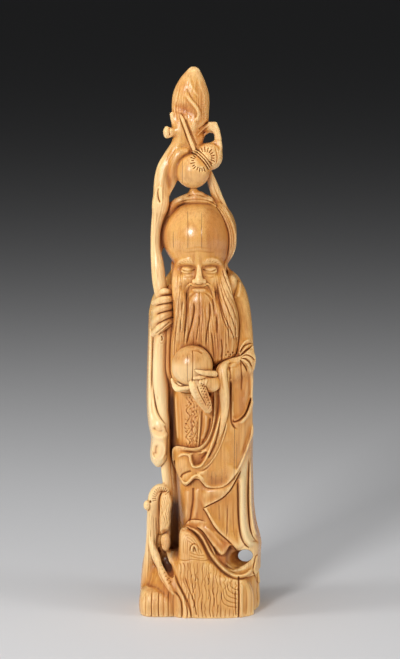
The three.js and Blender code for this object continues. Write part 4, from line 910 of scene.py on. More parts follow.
# leaf under the fingers: a smooth strip and a scaly strip side by side
tube([(197.4, 382.6, -36.4, 3.0), (199.6, 388, -36.8, 3.6), (202.4, 394.6, -36, 3.5), (205.2, 401, -34.8, 3.2), (206.8, 406, -33.6, 3.0), (207.6, 409, -32.8, 2.6)], k=0.4, flat=0.7, moat=(0.8, 0.5))
tube([(192, 383.4, -37.6, 1.9), (193.2, 388.4, -38, 2.2), (195.8, 394.4, -37.2, 2.1), (199.4, 401, -35.8, 1.8), (203.2, 407.4, -33.8, 1.3)], k=0.7, flat=0.8)
# hand on the staff
egg((162.6, 311.6, -12.8), (6.0, 5.6, 12.4), (0, 0.12, 0), k=1.5)
egg((157.6, 318, -9.6), (3.6, 5, 9), (0, 0.16, 0), k=1.5)
for v, s, r in ((300.2, 0.8, 2.2), (307.8, 1.5, 2.35), (316.2, 2.8, 2.5), (325.4, 4.6, 2.5)):
    tube([(154.6, v + 1.6 + s * 1.4, -11.0, r * 0.9), (158, v + 0.8 + s * 0.9, -15.8, r), (162.4, v + s * 0.2, -18.6, r * 1.06), (167.6, v - s * 0.6, -18.2, r * 1.06), (172, v - s * 1.1, -15.4, r)], k=0.6, fine=0.9)
tube([(157.8, 297, -10, 2.2), (160.6, 293, -14, 2.2), (165, 291.4, -16.2, 2.0), (169.6, 292.4, -15, 1.6)], k=0.8, moat=(0.8, 0.3))

# ---- crane ----------------------------------------------------------------------
tube([(150, 598, -9, 5.2), (149.6, 580, -9, 4.6), (150.4, 564, -9.4, 4.2), (151.6, 548, -10, 3.8), (152.6, 533, -10.6, 3.7), (153.4, 518, -11.2, 4.0), (155.4, 505, -11.8, 4.6), (158.6, 496, -12, 4.6)], k=2.0)
egg((160.6, 512, -9.6), (5.6, 5.4, 14), k=1.5)
# the wing, a furrowed panel with a rounded top
tube([(165.6, 493.4, -15.4, 2.4), (165.6, 500, -16.8, 3.4), (165.8, 510, -17.4, 3.5), (165.3, 520, -17.2, 3.4), (164.2, 528, -16.4, 2.6), (163, 533, -15.4, 1.4)], k=0.6, flat=0.85, moat=(0.9, 0.5))
# the neck bent over it and the small round head
tube([(167.4, 490.4, -13.6, 1.7), (163.2, 487.8, -13.8, 2.3), (158.8, 488.6, -13.8, 2.8), (155.2, 492.4, -13.8, 3.1), (153.4, 498.4, -13.4, 3.3), (152.8, 505, -12.8, 3.2)], k=1.4)
egg((147.2, 505.2, -14), (2.2, 2.6, 3.1), k=0.5, moat=(0.7, 0.4))
egg((150.4, 501.8, -16), (0.7, 1.6, 0.9), k=0.4, cut=True)
# a ring-shaped hollow with a round knob, and the dark cleft below it
egg((165.6, 541.6, -19), (5.2, 4.8, 7.4), (0, -0.12, 0), k=1.2, cut=True)
egg((166.4, 540.6, -16.6), (3.2, 3.3, 4.4), (0, -0.15, 0), k=0.4, moat=(1.2, 0.7))
egg((165.6, 546.4, -16.2), (2.2, 2.6, 3.0), (0, -0.3, 0), k=1.2)
tube([(151.4, 538, -13.2, 1.0), (152.4, 545, -14.2, 1.7), (154.4, 552, -15.4, 2.3), (157.4, 559, -17, 2.6), (160.6, 565, -18.8, 2.2)], k=1.8)
tube([(158.6, 561, -17.6, 1.8), (161.4, 567, -19.6, 2.6), (163.8, 574, -21.8, 3.0), (166.8, 581, -24.6, 2.4), (169.8, 587.4, -27.0, 1.7), (173, 593.4, -28.4, 0.8)], k=1.6, moat=(0.8, 0.4))
tube([(163.2, 552, -16, 1.6), (164.8, 558, -17.4, 2.6), (167.4, 565, -19.4, 2.9), (170, 571, -22, 2.2), (172, 576, -25, 1.2)], k=0.7, flat=1.3, cut=True)
tube([(173.2, 494, -6, 0.7), (173.6, 506, -8, 1.4), (174.2, 520, -9, 2.3), (174.8, 533, -10, 3.0), (174.6, 543, -13, 2.4), (173.4, 549, -17, 1.2)], k=0.8, cut=True)
tube([(174, 508, -13, 0.9), (174.6, 522, -14, 1.9), (175, 534, -15, 2.7), (174.6, 543, -17, 2.2)], k=0.8, cut=True)
tube([(174.6, 520, -19, 1.4), (175.2, 533, -20, 2.2), (174.8, 542, -21, 1.8)], k=0.8, cut=True)

# ---- fine work on the front ------------------------------------------------------
T = Sheet()
# bud: the long fold, its hollow, and lengthwise grain
T.ridge([(183.6, 91), (186.4, 96), (190, 100.6), (194, 105), (197.2, 109.6), (198.4, 114), (197.2, 118), (193.6, 120)], 1.5, 1.6, (0.3, 0.1), lean=0.4)
T.mound(184.6, 109.4, 9.4, 5.0, -1.9, 0.5)
T.mound(177.6, 103, 3.4, 8, -0.4, 0.1)
T.groove([(175, 110.4), (178, 112.6), (182, 114), (187, 115)], 0.45, 1.3, (0.3, 0.3))
T.groove([(185.4, 118), (188, 124.6), (191, 132.6), (194.2, 140.4), (197, 147)], 1.0, 0.9, (0.1, 0.1))
T.groove([(180, 118), (182, 124), (185, 132), (188, 140), (191, 147)], 0.35, 0.7, (0.2, 0.1))
T.mound(193.6, 124.4, 2.7, 6, 1.1, 0.12)
T.mound(201, 131, 5.5, 3.6, -1.0, -0.6)
T.ridge([(210.6, 122.6), (205.4, 127.4), (200.6, 131.8), (196.6, 136)], 0.7, 0.7)
T.groove([(198, 129.6), (203, 125.8), (208.6, 120.6)], 0.8, 0.8)
T.groove([(185.4, 84), (188.4, 92), (192, 98.4), (197, 104.4), (200.6, 110), (201.6, 117)], 0.6, 0.8, (0.3, 0.2))
T.ridge([(188, 76), (190.6, 84), (195, 92), (201, 99)], 0.35, 1.2, (0.3, 0.3))
T.ridge([(197, 74), (200, 83), (203.4, 95), (205.2, 108)], 0.2, 1.2, (0.3, 0.3))
rng = np.random.default_rng(3)
for n in range(22):
    s = (n + 0.5) / 22
    vv = np.linspace(73 + 14 * abs(s - 0.6), 128 - 14 * abs(s - 0.6), 8)
    spread = np.interp(vv, [66, 74, 84, 96, 110, 124, 132], [2, 9, 14.5, 18, 18.6, 16, 11])
    mid = np.interp(vv, [66, 90, 110, 132], [194, 191.4, 190.8, 193])
    T.groove(np.c_[mid + (2 * s - 1) * spread + 0.8 * noise(20 + n)(vv * 0.15), vv], rng.uniform(0.12, 0.35), 0.45, (0.15, 0.15))
# stub faces
T.groove([(169.6, 127), (169, 131.6), (169.8, 136)], 0.5, 0.8)
# gourd: bound waist, rays, crack
for off, h in ((-1.2, 0.7), (1.2, 0.7)):
    T.ridge([(192.4 + off * 0.7, 150.2 - off * 0.7), (197.4 + off * 0.7, 152.6 - off * 0.7), (202.4 + off * 0.7, 157 - off * 0.7), (206.8 + off * 0.7, 162.2 - off * 0.7), (210.6 + off * 0.7, 168.4 - off * 0.7)], h, 0.6, (0.06, 0.06))
for off in (-2.4, 0, 2.4):
    T.groove([(192.6 + off * 0.7, 150.6 - off * 0.7), (197.4 + off * 0.7, 152.8 - off * 0.7), (202.4 + off * 0.7, 157.2 - off * 0.7), (206.8 + off * 0.7, 162.4 - off * 0.7), (210.4 + off * 0.7, 168.6 - off * 0.7)], 1.0, 0.42, (0.06, 0.06))
T.mound(206.6, 157.2, 3.4, 3.0, 0.8, 0.8)
rng = np.random.default_rng(21)
for n in range(10):
    q, a, b = math.radians(-132 + 19.5 * n + rng.uniform(-2, 2)), rng.uniform(5.2, 6.2), rng.uniform(9.6, 11.6)
    T.groove([(205.4 + a * math.cos(q), 157.4 + a * math.sin(q)), (205.4 + b * math.cos(q), 157.4 + b * math.sin(q))], 1.1, 0.42, (0.05, 0.3))
for n in range(11):
    q, a, b = math.radians(66 + 17 * n + rng.uniform(-2, 2)), rng.uniform(6, 7.2), rng.uniform(10, 12.4)
    T.groove([(201 + a * math.cos(q), 161.4 + a * math.sin(q)), (201 + b * math.cos(q), 161.4 + b * math.sin(q))], 1.1, 0.42, (0.05, 0.3))
T.groove([(214, 145), (216.2, 152), (217, 159), (215.4, 165.4)], 0.5, 0.7)
T.ridge([(215.4, 123.4), (218, 130), (219.8, 138), (220.6, 147), (220, 156)], 0.4, 1.0)
# staff: long grain, twists and knots
for n, (off, h) in enumerate(((-0.62, 0.5), (-0.3, 0.75), (0.02, 0.55), (0.34, 0.8), (0.66, 0.5))):
    for seg in (
        [(180, 140, 8), (172, 154, 7.6), (165.6, 165, 7.4), (162.4, 176, 7.4), (161, 190, 7.6), (160.6, 202, 7.8), (158, 218, 5.8), (155.8, 232, 4.6), (155.6, 246, 4.6), (157.4, 262, 6), (159, 278, 6.7), (161, 290, 6.8)],
        [(162, 336, 7), (161, 352, 7.6), (160.3, 370, 7.5), (161, 386, 7.2), (162.4, 402, 6), (164, 414, 5)],
        [(165.6, 464, 4.6), (166.8, 476, 4.6), (168, 488, 4.4)],
    ):
        p = np.array(seg, float)
        k = np.arange(len(p))
        wob = 0.22 * noise(40 + n)(k * 0.9 + off)
        T.groove(np.c_[p[:, 0] + p[:, 2] * (off + wob), p[:, 1], 0.3 + 0.7 * np.clip(noise(60 + n)(k * 1.3) + 0.3, 0, 1)], h * (0.55 if seg[0][1] < 200 else 0.3), 0.6, (0.1, 0.1))
T.groove([(158.6, 187), (158, 193), (159, 200), (161, 203)], 1.3, 0.9)
T.ridge([(161, 186), (161.4, 193), (161.6, 200)], 0.5, 0.8)
T.groove([(161.6, 335.4), (162.2, 338), (161.8, 341)], 1.5, 0.62, (0.15, 0.15))
T.groove([(161.8, 332.6), (163.8, 335.4), (164.2, 339), (162.8, 342.8), (160.8, 343.2), (159.4, 340.4), (159.4, 336.4), (160.6, 333.2)], 0.35, 0.45, (0.1, 0.1))
T.mound(157.8, 398, 1.2, 3.0, -0.5)
# prop
T.groove([(212, 180), (216, 192), (222, 204), (229, 215)], 0.5, 0.8)
# hood peak lines
T.groove([(184, 199), (189.4, 195.4), (195.6, 194.6), (202, 196), (208, 198.6)], 0.45, 0.7, (0.3, 0.3))
T.groove([(178, 203.4), (184, 200.4), (191, 198.8), (198, 198.6), (205, 199.2), (211.6, 201.4)], 0.35, 0.6, (0.3, 0.3))
T.groove([(173.6, 206), (179, 202.6), (186, 200.4), (194, 199.6), (202, 199.8), (209, 201), (216, 204.8), (222, 211), (226.6, 219), (229.6, 227), (231.4, 236), (231.6, 245), (229.4, 254)], 0.6, 0.5, (0.1, 0.1))

# hair: the strands follow the beard's own edges
vs = np.array([r[0] for r in BEARD])
LEFT, RIGHT = np.array([r[1] for r in BEARD]), np.array([r[2] for r in BEARD])
LEFT = np.interp(np.arange(258, 400), [258, 291, *vs[1:]], [181, 176, *LEFT[1:]])
RIGHT = np.interp(np.arange(258, 400), [258, 291, 304, 326, 350, 365, 385, 399], [218, 230, 236, 240, 241, 240, 236, 232])
edge_l = lambda v: np.interp(v, np.arange(258, 400), LEFT)
edge_r = lambda v: np.interp(v, np.arange(258, 400), RIGHT)
rng = np.random.default_rng(8)
for n in range(12):  # broad locks
    t = (n + 0.5) / 12
    vv = np.linspace(288 + 26 * min(t, 1 - t), 372, 9)
    u = edge_l(vv) + (edge_r(vv) - edge_l(vv)) * t + 1.2 * np.sin(vv * 0.07 + 5 * t)
    T.ridge(np.c_[u, vv, 0.6 + 0.4 * noise(150 + n)(vv * 0.1)], 0.28, 1.9, (0.2, 0.2))
for n in range(54):  # single strands
    t = (n + 0.5) / 54
    middle = abs(t - 0.46) < 0.24
    v0 = rng.uniform(296, 312) if middle else 263 + rng.uniform(0, 8) + 30 * min(t, 1 - t)
    v1 = rng.uniform(350, 398)
    vv = np.linspace(v0, v1, 11)
    u = edge_l(vv) + (edge_r(vv) - edge_l(vv)) * (t + 0.012 * noise(70 + n)(vv * 0.06) * 2)
    u = u + 0.9 * np.sin(vv * 0.085 + 5 * t)
    T.groove(np.c_[u, vv, 0.25 + 0.75 * np.clip(noise(170 + n)(vv * 0.14) + 0.35, 0, 1)], rng.uniform(0.35, 0.65), rng.uniform(0.36, 0.42), (0.1, 0.12))
for n in range(26):  # short ones between them
    t, vc = rng.uniform(0.04, 0.96), rng.uniform(300, 372)
    vv = np.linspace(vc - 14, vc + 14, 6)
    u = edge_l(vv) + (edge_r(vv) - edge_l(vv)) * t + 0.9 * np.sin(vv * 0.085 + 5 * t)
    T.groove(np.c_[u, vv], 0.35, 0.36, (0.3, 0.3))
for pts, h, w in [
    ([(193, 301), (194.4, 308), (193.6, 315), (191.4, 325), (189.2, 333), (187.4, 340), (186, 346)], 1.5, 0.75),
    ([(198.6, 314), (199, 321), (197.6, 330), (196.5, 341)], 1.0, 0.5),
    ([(209, 300), (210, 309), (209.5, 318), (208, 326), (206.5, 335), (206, 346)], 1.4, 0.75),
    ([(211, 331), (212.6, 342), (213.4, 352), (214.5, 362)], 1.1, 0.6),
    ([(215.4, 318), (216, 330), (217.6, 342), (218, 352)], 0.6, 0.45),
    ([(216.6, 287), (218.6, 297), (221, 305), (223.6, 314), (227.4, 323), (232, 333), (235.4, 343)], 1.0, 0.5),
    ([(219.8, 283), (222.6, 294), (225.8, 304), (229.4, 313), (233, 322), (236, 332)], 0.9, 0.45),
    ([(219, 301), (220.6, 310), (223.2, 319), (227, 328), (230, 334)], 0.9, 0.5),
    ([(223, 286), (226.4, 296), (230.4, 304), (234, 312), (236.6, 322)], 0.8, 0.42),
    ([(226, 288), (230, 297), (234, 304), (237, 312)], 0.7, 0.42),
    ([(221, 338), (222, 350), (220.4, 359)], 1.2, 0.6),
    ([(226, 343), (227, 350), (226, 356)], 0.6, 0.45),
    ([(236.4, 336), (236.8, 345), (236.2, 355)], 1.2, 0.55),
    ([(222, 268), (224, 276), (228, 286), (233, 297)], 0.9, 0.5),
    ([(178, 300), (177, 318), (175, 338), (174, 360), (174, 376)], 0.5, 0.5),
    ([(182, 298), (181.6, 316), (180, 334), (178, 350)], 0.5, 0.5),
    ([(186.4, 290), (187, 304), (186.6, 318), (184.6, 334), (183.4, 344)], 0.6, 0.45),
]:
    T.groove(pts, h * 0.7, w * 0.85, (0.15, 0.15))
    T.groove(pts, h * 0.3, w * 2.6, (0.15, 0.15))
for u, v in ((228, 352), (230.4, 354.6), (232.6, 352.6), (229.2, 357), (234.6, 355), (226, 355)):
    T.mound(u, v, 0.55, 0.9, -1.4)
for s in (-1, 1):
    for n in range(3):
        o = 0.9 * (n - 1)
        T.groove([(199.5 + s * (4 + o), 291.6), (200 + s * (9.6 + o), 297), (200.6 + s * (13.2 + o), 306), (201 + s * (15.4 + o * 0.8), 320), (201 + s * (16.4 + 0.5 * o), 336)], 0.5, 0.45)
    for n in range(6):
        T.groove([(199 + s * (5 + 2.6 * n), 262.6 - 0.9 * n + 0.24 * n * n), (199 + s * (7.4 + 2.9 * n), 259.2 - 0.6 * n + 0.27 * n * n)], 0.3, 0.4)

# nothing of the beard on the peach and the sleeve before it
T.patch([
    (171.2, 379), (171.2, 365), (173.4, 358), (177, 351), (181, 348), (187, 345.4), (193, 345.6), (200, 347.8), (205, 351), (209, 356), (212.4, 362), (214, 367), (216.4, 364.8),
    (220.4, 361.2), (225, 358.6), (230, 356.8), (237, 355), (246, 351), (264, 350), (264, 430), (168, 430), (168, 388),
], 0, edge=0.5, clear=1.0)
# peach: cleft, thin skin edge, and the seam of its cup
T.groove([(192.5, 349), (192.9, 358), (192.8, 368), (192.5, 378), (191.6, 384)], 0.7, 0.45, (0.08, 0.1))
T.groove([(187.4, 353), (187, 366), (187.2, 381)], 0.12, 0.42)
T.groove([(196, 344.6), (202, 346.8), (207, 350.8), (210.8, 356.4), (213.2, 362.6), (213.8, 368.6)], 1.5, 0.75, (0.1, 0.05))
T.ridge([(193.6, 347.4), (199, 348.8), (204, 352.2)], 0.4, 0.8)
T.groove([(192.6, 350.4), (198, 351.4), (203, 354.6)], 0.35, 0.6)
T.groove([(172.4, 378), (175.6, 382.4), (180, 385.8), (188.6, 385.6)], 0.8, 0.6, (0.05, 0.05))
# hand with the peach: knuckles and nails
T.groove([(197.6, 369.8), (199.2, 371.4), (198.6, 373)], 0.3, 0.4)
T.groove([(205.8, 375.6), (209, 377.2), (213.6, 377.6)], 0.5, 0.6)
T.groove([(222.4, 367), (221.6, 374), (222.2, 383), (223.8, 392)], 0.4, 0.8, (0.2, 0.2))
T.groove([(226, 364.6), (232, 362.8), (238, 362)], 0.35, 0.8, (0.2, 0.2))
T.groove([(226.4, 370), (232, 367.6), (238, 366.6)], 0.3, 0.8, (0.2, 0.2))
T.mound(209.6, 394.2, 2.6, 2.4, -2.6)
T.groove([(213.4, 394), (213.4, 402), (212.6, 410)], 0.7, 0.8)
# leaf: midrib and scales
T.groove([(196.6, 384.4), (198.4, 390), (201.2, 396), (204.4, 402), (207, 407.4)], 0.8, 0.45)
rng = np.random.default_rng(31)
for n in range(8):
    a, b, c, d = rng.uniform(-0.6, 0.6, 4)
    u, v = 200.6 + 1.16 * n, 385.0 + 2.76 * n
    T.groove([(u - 1.8, v + 1.0 + a), (u + 1.2, v + 1.2 + b), (u + 4.6, v + 1.6 + a)], rng.uniform(0.35, 0.6), 0.42, (0.12, 0.12))
    T.groove([(u - 0.6, v + 4.4 + c), (u + 1.6, v + 1.4 + d), (u + 3.4, v - 1.9 + c)], rng.uniform(0.35, 0.6), 0.42, (0.12, 0.12))
T.groove([(201.4, 384.2), (204.6, 391), (208, 398.6), (210.6, 405)], 0.45, 0.4)
for n in range(8):
    T.mound(192.6 + 1.45 * n, 385.2 + 2.9 * n, 1.2, 1.0, 0.55)
T.mound(193, 385.6, 2.6, 2.2, 0.5)

# hand on the staff: creases and nails
for v, s in ((304, 1.6), (312.2, 2.4), (321, 4.4), (330.4, 7.6)):
    T.groove([(156, v + s * 1.0 + 0.6), (161, v + s * 0.3), (167.6, v - s * 0.5), (173.4, v - s * 0.9)], 0.45, 0.45, (0.25, 0.05))
    T.groove([(159, v - 3.0 + s * 0.8), (163.6, v - 3.8 + s * 0.1), (168, v - 4.0 - s * 0.4), (172, v - 4.2 - s * 0.7)], 0.3, 0.4, (0.3, 0.2))
T.groove([(173.6, 299), (173.8, 308), (173.4, 320)], 1.2, 0.6)
T.groove([(154.4, 334.4), (159, 331), (165, 326), (171, 320.6)], 0.7, 0.6)

# crane: feathers of neck, wing and tail
for n in range(13):
    q = math.radians(168 + 13 * n)
    T.groove([(161.4 + 4.6 * math.cos(q), 498.6 + 6.4 * math.sin(q)), (161.4 + 9.6 * math.cos(q), 498.6 + 12.4 * math.sin(q))], 0.65, 0.5, (0.1, 0.15))
T.groove([(159.6, 512), (159.2, 504), (159.8, 497), (162.4, 492.6), (166, 491.4), (169, 493)], 0.8, 0.7)
for n, u in enumerate(np.arange(161.4, 171, 1.5)):
    vv = np.linspace(493 + 2.2 * abs(n - 3), 531 - 1.5 * abs(n - 3), 11)
    T.groove(np.c_[u + 0.7 * np.sin(vv * 0.36 + 0.9 * n) + 0.4 * noise(90 + n)(vv * 0.3), vv, 0.5 + 0.5 * np.clip(noise(95 + n)(vv * 0.25) + 0.5, 0, 1)], 0.7, 0.48)
for n, u in enumerate((149.4, 151.8, 154.4, 156.8, 158.8)):
    vv = np.linspace(509 + 2 * n, 584 - 9 * n, 12)
    T.groove(np.c_[u - 0.016 * (vv - 508) + 0.7 * np.sin(vv * 0.16 + 1.3 * n), vv, 0.4 + 0.6 * np.clip(noise(120 + n)(vv * 0.15) + 0.5, 0, 1)], 0.6, 0.6, (0.1, 0.15))
T.groove([(160.6, 496), (160, 508), (160, 520), (160.6, 531)], 0.7, 0.7)
T.mound(147.4, 505, 0.7, 0.7, -0.5)
T.groove([(163.4, 536), (162.4, 541), (163.4, 547)], 0.5, 0.8)
T.groove([(158.6, 534), (157.4, 541), (159, 549), (162.6, 553)], 0.9, 0.9)
T.mound(154, 548, 1.8, 4, 0.5, -0.3)
T.mound(158.6, 562, 2, 3, 0.4, -0.4)
T.groove([(152, 556), (156, 566), (160.4, 575), (165, 584), (169, 590)], 0.5, 0.7, (0.2, 0.2))
for n in range(6):
    v, u = 565 + 3.6 * n, 161 + 1.5 * n
    T.groove([(u - 1.0, v + 1.8), (u + 1.0, v - 0.2), (u + 3, v - 2.0)], 0.4, 0.4)
    T.groove([(u - 1.0, v - 1.4), (u + 1.0, v + 0.6), (u + 2.8, v + 1.8)], 0.3, 0.4)
lay(T, band=3.5, f0=0.1, f1=0.45, front=6)

# ---- cuts right through -------------------------------------------------------------
h0 = at(245.4, 555.4, -10)


def hole(X, Y, Z):
    x, z = X[None, None, :] - h0[0], Z[:, None, None] - h0[2]
    deep = Y[None, :, None] + 10
    return np.hypot((x - 0.0187 * deep) / 1.22, z + 0.249 * deep) - 3.7


put((h0[0] - 6, -46, h0[2] - 17), (h0[0] + 6, 38, h0[2] + 15), hole, k=0.8, cut=True)
tube([(219, 560, -36, 2.6), (226, 561.4, -33, 4.0), (233, 560.4, -28, 4.8), (239, 558.4, -22, 4.9), (244, 556, -14, 4.3)], k=1.6, cut=True)


def floor(X, Y, Z):
    return Z[:, None, None] + 0 * Y[None, :, None] + 0 * X[None, None, :]


put((LO[0], LO[1], -4), (HI[0], HI[1], 1), floor, k=0, cut=True, reach=3)


# ==== field -> mesh =====================================================================
def build(k0, k1):
    g0, g1 = max(k0 - 2, 0), min(k1 + 2, len(ZS))
    zs = ZS[g0:g1]
    F = np.full((len(zs), len(YS), len(XS)), FAR, np.float32)
    for op in OPS:
        op(F, zs)
    return F[k0 - g0 : k0 - g0 + (k1 - k0)]


cuts = np.linspace(0, len(ZS), 33).astype(int)
with ThreadPoolExecutor(4) as pool:
    slabs = list(pool.map(lambda c: build(*c), zip(cuts[:-1], cuts[1:])))
FIELD = np.concatenate(slabs)
del slabs
FIELD[[0, -1]] = np.maximum(FIELD[[0, -1]], 0.5)
FIELD[:, [0, -1]] = np.maximum(FIELD[:, [0, -1]], 0.5)
FIELD[:, :, [0, -1]] = np.maximum(FIELD[:, :, [0, -1]], 0.5)


def net(F):
    """Quads of the zero surface: one point in each cell that it crosses."""
    ins = F < 0
    n = np.zeros(tuple(s - 1 for s in F.shape), np.uint8)
    for a in (0, 1):
        for b in (0, 1):
            for c in (0, 1):
                n += ins[a : a + n.shape[0], b : b + n.shape[1], c : c + n.shape[2]]
    idx = np.flatnonzero((n > 0) & (n < 8))
    k, j, i = np.unravel_index(idx, n.shape)
    P, cnt = np.zeros((len(idx), 3)), np.zeros(len(idx))
    for axis in range(3):
        o = [d for d in range(3) if d != axis]
        for a in (0, 1):
            for b in (0, 1):
                p = [k.copy(), j.copy(), i.copy()]
                p[o[0]] += a
                p[o[1]] += b
                fa = F[p[0], p[1], p[2]]
                q = [x.copy() for x in p]
                q[axis] += 1
                fb = F[q[0], q[1], q[2]]
                hit = (fa < 0) != (fb < 0)
                t = np.where(hit, fa / np.where(hit, fa - fb, 1), 0)
                pos = np.zeros((len(idx), 3))
                pos[:, o[0]], pos[:, o[1]], pos[:, axis] = a, b, t
                P += pos * hit[:, None]
                cnt += hit
    P = P / cnt[:, None] + np.c_[k, j, i]
    vid = np.full(n.shape, -1, np.int32)
    vid.flat[idx] = np.arange(len(idx), dtype=np.int32)
    quads = []
    for axis in range(3):
        o = [d for d in range(3) if d != axis]
        sa, sb = [slice(None)] * 3, [slice(None)] * 3
        sa[axis], sb[axis] = slice(0, -1), slice(1, None)
        a, b = ins[tuple(sa)], ins[tuple(sb)]
        hit = a != b
        for d in o:
            edge = [slice(None)] * 3
            edge[d] = [0, -1]
            hit[tuple(edge)] = False
        w = np.array(np.nonzero(hit))
        flip = a[tuple(w)]
        corner = []
        for da, db in ((1, 1), (0, 1), (0, 0), (1, 0)):
            c = w.copy()
            c[o[0]] -= da
            c[o[1]] -= db
            corner.append(vid[tuple(c)])
        q = np.stack(corner, 1)
        if axis == 1:
            flip = ~flip
        q[flip] = q[flip][:, ::-1]
        quads.append(q)
    return P, np.vstack(quads)


P, Q = net(FIELD)
P = np.c_[LO[0] + P[:, 2] * STEP, LO[1] + P[:, 1] * STEP, LO[2] + P[:, 0] * STEP]

# keep the one largest body
label = np.arange(len(P))
E = np.vstack([Q[:, [0, 1]], Q[:, [1, 2]], Q[:, [2, 3]], Q[:, [3, 0]]])
while True:
    a, b = label[E[:, 0]], label[E[:, 1]]
    m = a != b
    if not m.any():
        break
    np.minimum.at(label, np.maximum(a[m], b[m]), np.minimum(a[m], b[m]))
    while True:
        nxt = label[label]
        if (nxt == label).all():
            break
        label = nxt
kinds, counts = np.unique(label, return_counts=True)
main = kinds[counts.argmax()]
keep = label == main
print("loose bits dropped:", [(int(c), np.round(P[label == kk].mean(0), 1).tolist()) for kk, c in zip(kinds, counts) if kk != main][:12])
new = np.cumsum(keep) - 1
Q = new[Q[keep[Q[:, 0]]]]
P = P[keep]


def make_mesh(name, P, Q):
    me = bpy.data.meshes.new(name)
    me.vertices.add(len(P))
    me.vertices.foreach_set("co", P.astype(np.float32).ravel())
    me.loops.add(Q.size)
    me.loops.foreach_set("vertex_index", Q.astype(np.int32).ravel())
    me.polygons.add(len(Q))
    me.polygons.foreach_set("loop_start", np.arange(0, Q.size, Q.shape[1], dtype=np.int32))
    me.polygons.foreach_set("loop_total", np.full(len(Q), Q.shape[1], np.int32))
    me.update(calc_edges=True)
    return me


body = bpy.data.objects.new("ivory_carving", make_mesh("ivory_carving", P, Q))
bpy.context.scene.collection.objects.link(body)
tris = 2 * len(Q)
if tris > FACES:
    # fine work keeps more of its triangles than the plain back
    w = 0.5 + 0.5 * smooth((P[:, 1] + 2) / 9)
    pu, pv = drawn(P[:, 0], P[:, 1], P[:, 2])
    ahead = P[:, 1] < 2
    for u, v, ru, rv, low in ((198, 278, 30, 28, 0.12), (203, 160, 16, 16, 0.2), (163, 313, 14, 26, 0.25), (204, 382, 20, 34, 0.2), (160, 535, 18, 58, 0.3), (205, 325, 40, 45, 0.35)):
        d = smooth(1.25 - 0.8 * np.hypot((pu - u) / ru, (pv - v) / rv))
        w = np.where(ahead, np.minimum(w, w + (low - w) * d), w)
    grp = body.vertex_groups.new(name="plain")
    for lvl in np.arange(0.1, 1.01, 0.1):
        ids = np.nonzero(np.abs(np.clip(w, 0.1, 1) - lvl) <= 0.0501)[0]
        if len(ids):
            grp.add(ids.tolist(), float(lvl), "REPLACE")
    mod = body.modifiers.new("fewer", "DECIMATE")
    mod.ratio = FACES / tris
    mod.use_collapse_triangulate = True
    mod.vertex_group = "plain"
    mod.vertex_group_factor = 0.003
    dg = bpy.context.evaluated_depsgraph_get()
    me = bpy.data.meshes.new_from_object(body.evaluated_get(dg))
    body.modifiers.clear()
    body.data = me
    body.vertex_groups.clear()
me = body.data
co = np.zeros(len(me.vertices) * 3, np.float32)
me.vertices.foreach_get("co", co)
co = co.reshape(-1, 3)
if tris > FACES:
    # leave out the few pairs of faces that the thinning folded flat on each other
    T3 = np.zeros(len(me.loops), np.int32)
    me.loops.foreach_get("vertex_index", T3)
    T3 = T3.reshape(-1, 3)
    key = np.sort(T3.astype(np.int64), axis=1)
    flat_ = (key[:, 0] == key[:, 1]) | (key[:, 1] == key[:, 2])
    key = (key[:, 0] * len(co) + key[:, 1]) * len(co) + key[:, 2]
    _, inv, cnt = np.unique(key, return_inverse=True, return_counts=True)
    T3 = T3[(cnt[inv] == 1) & ~flat_]
    used, T3 = np.unique(T3, return_inverse=True)
    co = co[used]
    me = make_mesh("ivory_carving", co, T3.reshape(-1, 3))
    body.data = me
    print("mesh mended:", me.validate())
me.vertices.foreach_set("co", ((co + np.array(SHIFT, np.float32)) * 0.001).ravel())
me.update()
me.shade_smooth()
count = sum(len(p.vertices) - 2 for p in me.polygons)
print("triangles", tris, "->", count)

# ---- how deep each point lies, for the patina and painted shade in the hollows and the pale ridges ---
def blurred(O, r):
    for axis in range(3):
        n = O.shape[axis]
        c = np.cumsum(O, axis, dtype=np.float64 if r > 9 else np.float32)
        c = np.concatenate([np.zeros_like(c.take([0], axis)), c], axis)
        hi, lo = np.minimum(np.arange(n) + r + 1, n), np.maximum(np.arange(n) - r, 0)
        O = ((c.take(hi, axis) - c.take(lo, axis)) / (2 * r + 1)).astype(np.float32)
    return O


def look_up(V, step, p):
    g = [(p[:, 2] - LO[2]) / step, (p[:, 1] - LO[1]) / step, (p[:, 0] - LO[0]) / step]
    lo = [np.clip(x.astype(int), 0, s - 2) for x, s in zip(g, V.shape)]
    f = [np.clip(x - l, 0, 1) for x, l in zip(g, lo)]
    out = 0
    for a in (0, 1):
        for b in (0, 1):
            for c in (0, 1):
                w = (f[0] if a else 1 - f[0]) * (f[1] if b else 1 - f[1]) * (f[2] if c else 1 - f[2])
                out = out + w * V[lo[0] + a, lo[1] + b, lo[2] + c]
    return out


occ = np.clip(0.5 - FIELD / STEP, 0, 1)
fine = look_up(blurred(occ, max(1, round(0.7 / STEP))), STEP, co)
mid = look_up(blurred(occ, max(1, round(2.2 / STEP))), STEP, co)
half = occ[: len(ZS) // 2 * 2, : len(YS) // 2 * 2, : len(XS) // 2 * 2]
half = (half[::2, ::2, ::2] + half[1::2, 1::2, 1::2]) / 2
wide = look_up(blurred(half, max(1, round(5.5 / STEP / 2))), STEP * 2, co)
crease = np.clip((fine - 0.5) * 3.4, -1, 1)
hollow = np.clip((mid - 0.5) * 3.0, -1, 1)
shade = np.clip((wide - 0.5) * 2.6, -1, 1)
ed = np.zeros(len(me.edges) * 2, np.int32)
me.edges.foreach_get("vertices", ed)
ed = ed.reshape(-1, 2)
deg = np.maximum(np.bincount(ed.ravel(), minlength=len(co)), 1)
busy = np.abs(crease)
for _ in range(12):
    near = np.bincount(ed[:, 0], busy[ed[:, 1]], len(co)) + np.bincount(ed[:, 1], busy[ed[:, 0]], len(co))
    busy = 0.3 * busy + 0.7 * near / deg
